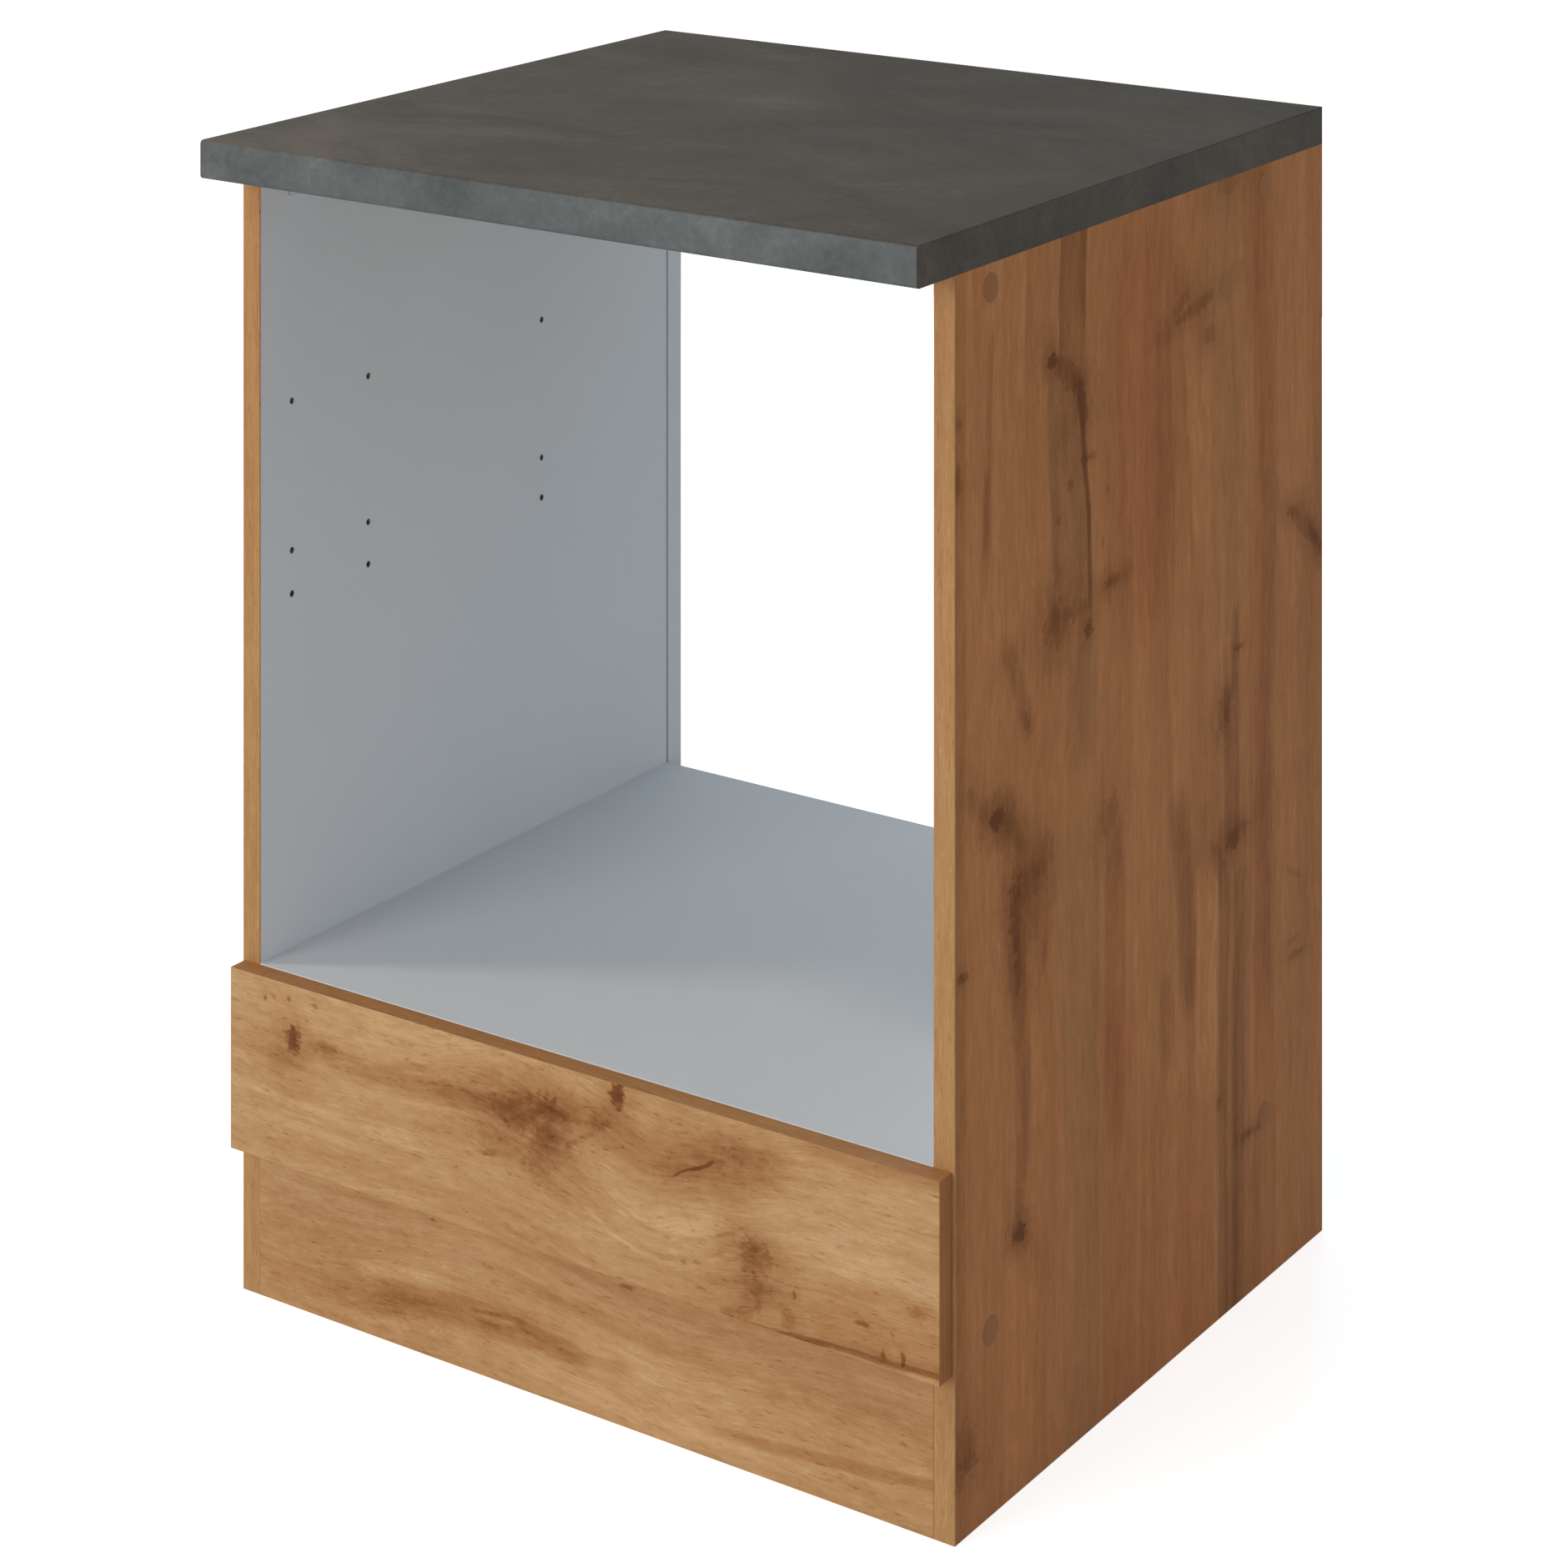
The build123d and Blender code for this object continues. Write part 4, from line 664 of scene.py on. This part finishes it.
def metalFinish(name, colour, rough, spangle, depth):
    # zinc coat: cells of slightly different grey, fine scratches and a soft variation of gloss
    material, tree, place, axes = start(name)
    shade = cellShade(tree, cells(tree, place, spangle))
    fine = noise(tree, place, *metalLook["scratches"])
    tones = zip([centred(tree, shade), centred(tree, fine)], metalLook["tones"])
    tone = total(tree, tones, metalLook["brightness"])
    roughness = total(tree, zip([shade, fine], metalLook["gloss"]), rough)
    tinted = blend(tree, tone, (0.0, 0.0, 0.0, 1.0), srgb(*colour))
    close(tree, tinted, roughness, fine, depth, metallic=1.0)
    return material


paintLook = {"dust": (40.0, 4.0), "dustDepth": 0.9, "gloss": 0.15}


def paintFinish(name, colour, rough, peel, depth, specular=0.14):
    # sprayed or moulded: an even colour with orange peel and small changes of gloss
    material, tree, place, axes = start(name)
    waves = noise(tree, place, peel, 2.0)
    dust = noise(tree, place, *paintLook["dust"])
    tinted = blend(tree, dust, dimmed(srgb(*colour), paintLook["dustDepth"]), srgb(*colour))
    roughness = calc(tree, "MULTIPLY_ADD", dust, paintLook["gloss"], rough)
    close(tree, tinted, roughness, waves, depth, specular)
    return material


beechLook = {
    "stretch": (60.0, 900.0, 900.0), "browns": [(0.3, (176, 132, 96)), (0.7, (214, 174, 136))], "rough": 0.6,
}


def beechFinish():
    material, tree, place, axes = start("beech")
    grain = noise(tree, scaled(tree, axes, beechLook["stretch"]), 1.0, 3.0, 0.6)
    close(tree, screenRamp(tree, grain, beechLook["browns"]), beechLook["rough"], grain, 0.0001)
    return material


finishes = {
    "concrete": concreteFinish("concreteLaminate", worktopLook["top"], worktopLook["front"]),
    # the end strips take a darker, warmer copy of the laminate: painted shade
    "ends": concreteFinish("concreteEndsShaded", worktopLook["ends"], worktopLook["ends"]),
    "side": sideFinish(),
    "front": frontFinish(),
    "bandUpright": uprightBandFinish(),
    "bandFront": frontBandFinish(),
    "grey": greyFinish(),
    "board": boardFinish(),
    "chips": chipFinish(),
    "fibre": fibreFinish(),
    "zinc": metalFinish("zincSteel", (178, 181, 184), 0.42, 90.0, 0.00002),
    "screw": metalFinish("screwZinc", (206, 200, 176), 0.3, 700.0, 0.00002),
    "cam": metalFinish("camZinc", (176, 178, 180), 0.42, 400.0, 0.00004),
    "enamel": paintFinish("greyEnamel", (206, 206, 202), 0.34, 700.0, 0.00003),
    "nylon": paintFinish("nylon", (226, 224, 214), 0.38, 900.0, 0.00002),
    "cap": paintFinish("capPlastic", (173, 116, 80), 0.48, 1200.0, 0.00003, 0.06),
    "beech": beechFinish(),
}

finishOf = {
    # nodes of each finish; a name that ends in an underline stands for the left and the right one
    "concrete": "worktop_laminate", "ends": "worktop_end_strip_", "side": "side_board_",
    "front": "drawer_front plinth_board", "bandFront": "drawer_front_bands",
    "bandUpright": "side_front_band_",
    "grey": "bottom_board_band oven_shelf_band drawer_side_ drawer_box_front drawer_box_back",
    "board": "bottom_board oven_shelf", "chips": "worktop_core", "fibre": "lower_back_panel drawer_bottom",
    "zinc": "top_rail_front top_rail_rear plinth_bracket_ cabinet_roller_rivet_ drawer_roller_rivet_",
    "screw": "plinth_bracket_screws lower_back_screws top_rail_bolts worktop_screws carcass_screws "
    "cabinet_runner_screws drawer_front_screws drawer_bottom_screws drawer_corner_screws "
    "drawer_runner_screws",
    "cam": "shelf_cams shelf_cam_bolts", "enamel": "cabinet_runner_ drawer_runner_",
    "nylon": "cabinet_roller_ drawer_roller_", "cap": "cover_caps_", "beech": "shelf_dowels",
}
unfinished = set(nodes)
for finish, names in finishOf.items():
    for name in names.split():
        for node in [name + "left", name + "right"] if name.endswith("_") else [name]:
            unfinished.remove(node)
            for slot in nodes[node].material_slots:
                slot.material = finishes[finish]
print("finishes on", len(nodes) - len(unfinished), "nodes; without:", sorted(unfinished))


def newObject(name, data=None):
    made = bpy.data.objects.new(name, data)
    scene.collection.objects.link(made)
    return made


sharpAngle = math.radians(38)


def putPiece(name, points, faces, body, slot, node, finish):
    # arrays in millimetres into one mesh at the origin, which stands for a CAD node
    mesh = bpy.data.meshes.new(name)
    mesh.from_pydata((points / 1000).tolist(), [], faces)
    mesh.polygons.foreach_set("use_smooth", np.ones(len(faces), bool))
    mesh.set_sharp_from_angle(angle=sharpAngle)
    mesh.materials.append(finishes[finish])
    piece = newObject(name, mesh)
    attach(piece, body)
    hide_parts(node)


def ringFaces(rings, sides, closed):
    # quads between neighbouring rings; a closed profile joins its last ring to its first, an open one
    # ends in a fan at a pole on each side
    row, column = np.meshgrid(np.arange(rings if closed else rings - 1), np.arange(sides), indexing="ij")
    nextRow, nextColumn = (row + 1) % rings, (column + 1) % sides
    corners = [
        row * sides + column, row * sides + nextColumn,
        nextRow * sides + nextColumn, nextRow * sides + column,
    ]
    faces = np.stack(corners, axis=-1).reshape(-1, 4).tolist()
    if not closed:
        around = np.arange(sides)
        after = (around + 1) % sides
        first, last, end = rings * sides, rings * sides + 1, (rings - 1) * sides
        faces += np.stack([np.full(sides, first), after, around], axis=-1).tolist()
        faces += np.stack([np.full(sides, last), end + around, end + after], axis=-1).tolist()
    return faces


def ringPoints(radius, height, angle, closed):
    # x = r cos a, y = r sin a, z = h over a grid of profile places by angles, with a pole at each open end
    radius, height, angle = np.broadcast_arrays(radius, height, angle)
    points = np.stack([radius * np.cos(angle), radius * np.sin(angle), height], axis=-1).reshape(-1, 3)
    if not closed:
        points = np.vstack([points, (0, 0, height[0].mean()), (0, 0, height[-1].mean())])
    return points


def aimed(points, place, direction):
    # turns +Z to a direction and moves the foot to a place
    along = np.array(direction, float)
    side = np.cross((0.0, 1.0, 0.0) if abs(along[1]) < 0.5 else (0.0, 0.0, 1.0), along)
    side = side / np.linalg.norm(side)
    return points @ np.array([side, np.cross(along, side), along]) + np.array(place, float)


def many(made, places):
    # one shape at several places, as one mesh
    points, faces = made
    allPoints = np.vstack([aimed(points, place, direction) for place, direction in places])
    allFaces = [[index + k * len(points) for index in face] for k in range(len(places)) for face in faces]
    return allPoints, allFaces


def eased(value):
    # 0 below 0, 1 above 1, 3 t^2 - 2 t^3 between
    value = np.clip(value, 0.0, 1.0)
    return value * value * (3 - 2 * value)


screwLook = {
    # parts of the shank's radius: pitch, root, tip; parts of the head's radius: the cross
    "sides": 36, "headRings": 16, "ringsPerTurn": 6, "pitch": 0.88, "root": 0.74, "tip": 1.6, "bluntEnd": 0.4,
    "armWidth": 0.13, "armLength": 0.6, "armDepth": 0.34, "armEdge": 0.07, "armEnd": 0.12, "gather": 0.55,
}


def screwShape(head, cap, cone, shank, length, pointed=True, plain=0.0):
    # along +Z with the head's underside at 0. The head's face is a grid of radius by angle, domed by
    # (1 - t^6)^0.5 unless it is countersunk, with a cross pressed in: deep where the smaller of |x|, |y|
    # is under the arm's width. The shank's radius follows a triangle wave of z / pitch - a / 2 pi
    look = screwLook
    turns = np.linspace(0, 2 * np.pi, look["sides"], endpoint=False)
    angle = turns - look["gather"] * np.sin(4 * turns) / 4
    share = np.sin(np.linspace(0.05, np.pi / 2, look["headRings"]))[:, None]
    x, y = np.abs(share * np.cos(angle)), np.abs(share * np.sin(angle))
    least, across = np.minimum(x, y), np.maximum(x, y)
    arms = eased((look["armWidth"] - least) / look["armEdge"] + 0.5)
    cross = arms * eased((look["armLength"] - across) / look["armEnd"])
    dome = np.zeros_like(share) - cap if cone else -cap * np.sqrt(np.maximum(0.0, 1 - share ** 6))
    face = dome + cross * look["armDepth"] * head * (1 - 0.6 * across)
    radii, heights = [share * head + 0 * angle], [face + 0 * angle]
    if cone:
        rim = [(head, 0.0), (shank * 1.3, cone * 0.75), (shank * look["root"], cone * 1.1)]
        rim = np.array(rim if cap else rim[1:])
    else:
        rim = np.array([(head * 0.985, 0.0), (shank * 1.1, 0.0), (shank, 0.1), (shank * look["root"], 0.3)])
    radii.append(rim[:, :1] + 0 * angle)
    heights.append(rim[:, 1:] + 0 * angle)
    pitch, root = look["pitch"] * shank, look["root"]
    begin = rim[-1, 1] + 0.1
    count = int((length - begin) / pitch * look["ringsPerTurn"])
    z = np.linspace(begin, length - 0.02, count)[:, None]
    wave = np.abs(((z / pitch - angle / (2 * np.pi)) % 1.0) * 2 - 1)
    thread = eased((z - begin - plain) / pitch) * wave
    radius = shank * (root + (1 - root) * np.where(z < begin + plain, 1.0, thread))
    tip = look["tip"] * shank if pointed else look["bluntEnd"]
    left = np.clip((length - z) / tip, 0.03 if pointed else 0.8, 1.0)
    radii.append(radius * left ** (0.8 if pointed else 1.0))
    heights.append(z + 0 * angle)
    radius, height = np.vstack(radii), np.vstack(heights)
    return ringPoints(radius, height, angle, False), ringFaces(len(radius), len(angle), False)


def turnedShape(profile, sides, closed=False, pattern=None):
    # rows of (radius, height, radial shift, height shift) carried round +Z: the shifts are multiplied by
    # a pattern of the angle between 0 and 1
    profile = np.array([(*row, 0.0, 0.0)[:4] for row in profile], float)
    angle = np.linspace(0, 2 * np.pi, sides, endpoint=False)
    share = pattern(angle) if pattern else np.zeros(sides)
    radius = profile[:, :1] + profile[:, 2:3] * share
    height = profile[:, 1:2] + profile[:, 3:] * share
    return ringPoints(radius, height, angle, closed), ringFaces(len(profile), sides, closed)


fixingLines, lowLine, highLine = (-205.0, 201.5), 121.5, 806.0
boxHeights, backHeights = (172.5, 198.5), (121.5, 234.0)


def grid(xs, ys, zs, direction):
    # one direction at every place of a grid
    return [((x, y, z), direction) for y in ys for z in zs for x in xs]


def mirrored(x, ys, zs=(0.0,)):
    # aimed at the middle of the cabinet from both sides, or away from it where x is negative
    return [
        ((side * abs(x), y, z), (-side if x > 0 else side, 0, 0)) for side in (-1, 1) for y in ys for z in zs
    ]


screws = {
    # node: body, (head, cap, cone, shank, length), places and directions, options
    "carcass_screws": (
        "cabinet", (5.0, 1.0, 2.0, 3.4, 47.0), mirrored(298.7, fixingLines, [lowLine]), {"plain": 6.0}),
    "top_rail_bolts": (
        "cabinet", (6.0, 0.6, 3.0, 3.0, 18.6), mirrored(299.1, fixingLines, [highLine]), {"pointed": False}),
    "worktop_screws": (
        "cabinet", (4.0, 2.4, 0.0, 2.0, 18.0), grid((-200, 200), fixingLines, [820.5], (0, 0, 1)), {}),
    "lower_back_screws": (
        "cabinet", (3.5, 1.8, 0.0, 1.6, 15.0), grid((-220, 0, 220), [281.0], backHeights, (0, -1, 0)), {}),
    "plinth_bracket_screws": ("cabinet", (3.6, 2.0, 0.0, 1.8, 13.0), [
        place for side in (-1, 1) for place in (
            ((side * 265.0, -234.5, 56.75), (0, -1, 0)), ((side * 282.5, -217.0, 56.75), (side, 0, 0)))], {}),
    "cabinet_runner_screws": (
        "cabinet", (3.6, 0.0, 1.8, 1.8, 12.0), mirrored(-282.8, (-215.0, 9.0, 169.0), [155.0]), {}),
    "drawer_front_screws": ("drawer", (4.0, 2.4, 0.0, 2.0, 27.0), [
        ((x, -236.3, z), (0, -1, 0)) for x in (-200, 200) for z in boxHeights], {"plain": 12.0}),
    "drawer_corner_screws": (
        "drawer", (4.5, 0.8, 1.8, 2.5, 38.0), mirrored(270.65, (-244.3, 189.7), boxHeights), {"plain": 10.0}),
    "drawer_bottom_screws": (
        "drawer", (3.5, 1.8, 0.0, 1.6, 15.0), grid((-180, 0, 180), [189.7], [154.5], (0, 0, 1)), {}),
    "drawer_runner_screws": ("drawer", (3.5, 1.8, 0.0, 1.6, 15.0), [
        ((side * 265.0, y, 143.3), (0, 0, 1)) for side in (-1, 1) for y in (-215.3, 160.7)], {}),
}
for node, (body, size, places, options) in screws.items():
    putPiece(node + "_shaped", *many(screwShape(*size, **options), places), body, "screw_zinc", node, "screw")


def sixRibs(angle):
    # 1 on six narrow ribs, 0 between them
    return eased((0.17 - np.abs(np.sin(3 * angle))) / 0.1 + 0.5)


def sixteenFlutes(angle):
    return 0.5 + 0.5 * np.cos(16 * angle)


rollerLook = {"bore": 2.6, "hub": 4.4, "width": 6.4, "web": 1.3, "rim": 1.8, "edge": 0.5}


def rollerShape(radius, hubLength):
    # a tyre and a hub joined by a thin web with ribs on both faces
    bore, hub, width, web = (rollerLook[key] for key in ("bore", "hub", "width", "web"))
    rim, edge = radius - rollerLook["rim"], rollerLook["edge"]
    half = [
        (hub, web - 0.2, 0.0, 0.3 - web), (hub + 0.2, web, 0.0, 0.5 - web), (rim - 0.3, web, 0.0, 0.5 - web),
        (rim, web - 0.2, 0.0, 0.3 - web), (rim, 0.15), (rim + 0.15, 0.0), (radius - edge, 0.0),
        (radius - 0.15, 0.15), (radius, edge),
    ]
    back = [(row[0], width - row[1], 0.0, -(*row, 0.0, 0.0)[3]) for row in reversed(half)]
    front = [(bore, 0.15), (bore + 0.15, 0.0), (hub - 0.15, 0.0), (hub, 0.15)]
    low = hubLength - 0.15
    end = [(hub, low), (hub - 0.15, hubLength), (bore + 0.15, hubLength), (bore, low)]
    return turnedShape(front + half + back + end, 120, True, sixRibs)


rivetLook = {"head": 4.0, "dome": 0.8, "shank": 2.5}


def rivetShape(length):
    # a head domed by (1 - t^4)^0.5 on a plain shank
    share = np.sin(np.linspace(0.1, np.pi / 2, 9))
    dome = [(rivetLook["head"] * t, -rivetLook["dome"] * math.sqrt(max(0.0, 1 - t ** 4))) for t in share]
    shank = rivetLook["shank"]
    return turnedShape(dome + [(shank, 0.0), (shank, length - 0.25), (shank - 0.25, length)], 48)


capLook = {"radius": 9.75, "thickness": 0.4}


def capShape():
    # a thin disc with a rounded rim
    radius, thick = capLook["radius"], capLook["thickness"]
    turn = np.linspace(0, np.pi / 2, 6)
    rim = [(radius - 0.3 + 0.3 * math.cos(t), 0.1 + (thick - 0.1) * math.sin(t)) for t in turn]
    return turnedShape([(radius - 0.1, 0.0), *rim], 72)


def boltShape():
    # ridged end, collar, smooth shaft, neck and head
    ridge = ((2.4, 0.0), (3.0, 0.7), (3.0, 0.9))
    ridges = [(radius, 0.9 + 1.6 * k + rise) for k in range(6) for radius, rise in ridge]
    rest = [
        (2.6, 10.8), (3.3, 11.0), (3.5, 11.2), (3.5, 12.0), (3.3, 12.2), (2.9, 12.2), (2.9, 36.5),
        (2.0, 37.6), (2.0, 42.0), (2.8, 42.4), (3.0, 42.8), (3.0, 44.4), (2.7, 44.8), (2.2, 44.95),
    ]
    return turnedShape([(1.8, 0.0), (2.4, 0.6), *ridges, *rest], 40)


def dowelShape():
    ends = [(3.0, 0.0), (3.9, 1.0), (4.0, 1.5, -0.22), (4.0, 28.5, -0.22), (3.9, 29.0), (3.0, 30.0)]
    return turnedShape(ends, 96, False, sixteenFlutes)


for side, word in ((-1, "left"), (1, "right")):
    outwards, inwards = (side, 0, 0), (-side, 0, 0)
    frontAxle, rearAxle = (-236.0, 153.9), (181.7, 155.0)
    turnedPieces = {
        # node: shape, places, direction, body, slot, finish
        "cover_caps_": (
            capShape(), [(side * 300.0, y, z) for y in fixingLines for z in (lowLine, highLine)], outwards,
            "cabinet", "cap_plastic", "cap"),
        "cabinet_roller_": (
            rollerShape(10.0, 7.6), [(side * 274.9, *frontAxle)], outwards,
            "front_roller_" + word, "nylon", "nylon"),
        "drawer_roller_": (
            rollerShape(12.0, 8.3), [(side * 281.3, *rearAxle)], inwards,
            "rear_roller_" + word, "nylon", "nylon"),
        "cabinet_roller_rivet_": (
            rivetShape(9.4), [(side * 274.6, *frontAxle)], outwards, "cabinet", "zinc_steel", "zinc"),
        "drawer_roller_rivet_": (
            rivetShape(10.1), [(side * 281.6, *rearAxle)], inwards, "drawer", "zinc_steel", "zinc"),
    }
    for node, (shape, places, direction, body, slot, finish) in turnedPieces.items():
        made = many(shape, [(place, direction) for place in places])
        putPiece(node + word + "_shaped", *made, body, slot, node + word, finish)
fittings = {
    "shelf_cam_bolts": (boltShape(), (-192.0, 218.0), "cam_zinc", "cam"),
    "shelf_dowels": (dowelShape(), (-160.0, 186.0), "beech", "beech"),
}
for node, (shape, lines, slot, finish) in fittings.items():
    made = many(shape, [((side * 295.0, y, 234.0), (-side, 0, 0)) for side in (-1, 1) for y in lines])
    putPiece(node + "_shaped", *made, "cabinet", slot, node, finish)
print("small fittings shaped:", len(screws) + 2 * len(turnedPieces) + len(fittings), "pieces")


studio = {
    "floorColour": (0.8, 0.8, 0.8), "floorGlow": 0.72, "floorSize": 60.0, "floorHeight": -0.0002,
    "skyColour": (0.93, 0.98, 1.0), "skyStrength": 0.39,
    "frontPower": 62.0, "frontColour": (1.0, 1.0, 1.0), "frontSize": 2.2, "frontPlace": (-1.2, -4.2, 1.6),
    "lowPower": 23.0, "lowColour": (1.0, 1.0, 1.0), "lowSize": 2.2, "lowPlace": (0.6, -4.6, 0.8),
    "highPower": 34.0, "highColour": (1.0, 0.88, 0.72), "highSize": 0.6, "highPlace": (-2.6, -1.7, 4.2),
    "rearPower": 14.0, "rearColour": (1.0, 0.97, 0.93), "rearSize": 0.9, "rearPlace": (-1.0, 3.0, 0.45),
    "nichePower": 3.2, "nicheColour": (0.15, 0.85, 1.4), "nicheSize": 0.5, "nichePlace": (-0.3, 1.7, 0.62),
    "aim": (0.0, 0.0, 0.42),
}


def seenDirectly(tree):
    # 1 for rays from the camera, from glossy surfaces and through glass
    path = add(tree, "ShaderNodeLightPath").outputs
    seen = calc(tree, "MAXIMUM", path["Is Camera Ray"], path["Is Glossy Ray"])
    return calc(tree, "MAXIMUM", seen, path["Is Transmission Ray"])


def makeFloor():
    # one square sheet just under the cabinet's feet
    half, low = studio["floorSize"] / 2, studio["floorHeight"]
    mesh = bpy.data.meshes.new("floor")
    corners = [(x * half, y * half, low) for x, y in ((-1, -1), (1, -1), (1, 1), (-1, 1))]
    mesh.from_pydata(corners, [], [(0, 1, 2, 3)])
    floor = newObject("floor", mesh)
    material = bpy.data.materials.new("floor")
    tree = emptyTree(material)
    glow = calc(tree, "MULTIPLY", seenDirectly(tree), studio["floorGlow"])
    emission = add(tree, "ShaderNodeEmission", {"Color": (1, 1, 1, 1), "Strength": glow})
    matt = add(tree, "ShaderNodeBsdfDiffuse", {"Color": (*studio["floorColour"], 1.0)})
    both = add(tree, "ShaderNodeAddShader", {0: emission.outputs[0], 1: matt.outputs[0]})
    add(tree, "ShaderNodeOutputMaterial", {"Surface": both.outputs[0]})
    mesh.materials.append(material)


def makeSky():
    # white where it is seen, a weaker tinted light elsewhere
    world = bpy.data.worlds.new("studio")
    scene.world = world
    tree = emptyTree(world)
    seen, power = seenDirectly(tree), studio["skyStrength"]
    colour = blend(tree, seen, (*studio["skyColour"], 1.0), (1, 1, 1, 1))
    strength = calc(tree, "MULTIPLY_ADD", seen, 1.0 - power, power)
    background = add(tree, "ShaderNodeBackground", {"Color": colour, "Strength": strength})
    add(tree, "ShaderNodeOutputWorld", {"Surface": background.outputs[0]})


def standing(right, up, back, place):
    matrix = np.eye(4)
    matrix[:3] = np.column_stack([right, up, back, place])
    return Matrix(matrix.tolist())


def makeLamp(name, power, colour, size, place):
    # a round area lamp aimed at the middle of the cabinet
    lamp = bpy.data.lights.new(name, "AREA")
    lamp.shape, lamp.energy, lamp.color, lamp.size = "DISK", power, colour, size
    holder = newObject(name, lamp)
    back = np.array(place) - np.array(studio["aim"])
    back = back / np.linalg.norm(back)
    right = np.cross((0.0, 0.0, 1.0), back)
    right = right / np.linalg.norm(right)
    holder.matrix_world = standing(right, np.cross(back, right), back, place)
    holder.visible_camera = False


makeFloor()
makeSky()
for lamp in ("front", "low", "high", "rear", "niche"):
    makeLamp(lamp + "Light", *(studio[lamp + part] for part in ("Power", "Colour", "Size", "Place")))

view = {
    "place": (1.623289, -2.539663, 1.412331),  # metres
    "turn": 0.6295614,  # radians from +Y towards -X
    "focus": 4871.796, "middleX": 630.685, "horizonY": -763.18,  # pixels of an 1880 pixel frame
    "frame": 1880.0, "sensor": 36.0, "clip": (0.05, 200.0),
}


def makeCamera():
    # level picture plane: the axis c = forward + a right - b up points at the frame's middle,
    # and right, up and -c / |c| are the camera's own axes, so uprights stay upright
    half, focus, turn = view["frame"] / 2, view["focus"], view["turn"]
    right = np.array([math.cos(turn), math.sin(turn), 0.0])
    forward = np.array([-math.sin(turn), math.cos(turn), 0.0])
    up = np.array([0.0, 0.0, 1.0])
    axis = forward + right * (half - view["middleX"]) / focus - up * (half - view["horizonY"]) / focus
    length = np.linalg.norm(axis)
    data = bpy.data.cameras.new("camera")
    data.sensor_width = view["sensor"]
    data.lens = focus * length / view["frame"] * view["sensor"]
    data.clip_start, data.clip_end = view["clip"]
    camera = newObject("camera", data)
    camera.parent = newObject("cameraStand")
    camera.matrix_parent_inverse = standing(right, up, -axis / length, view["place"])
    scene.camera = camera


makeCamera()
scene.view_settings.view_transform = "Standard"
print("studio ready")
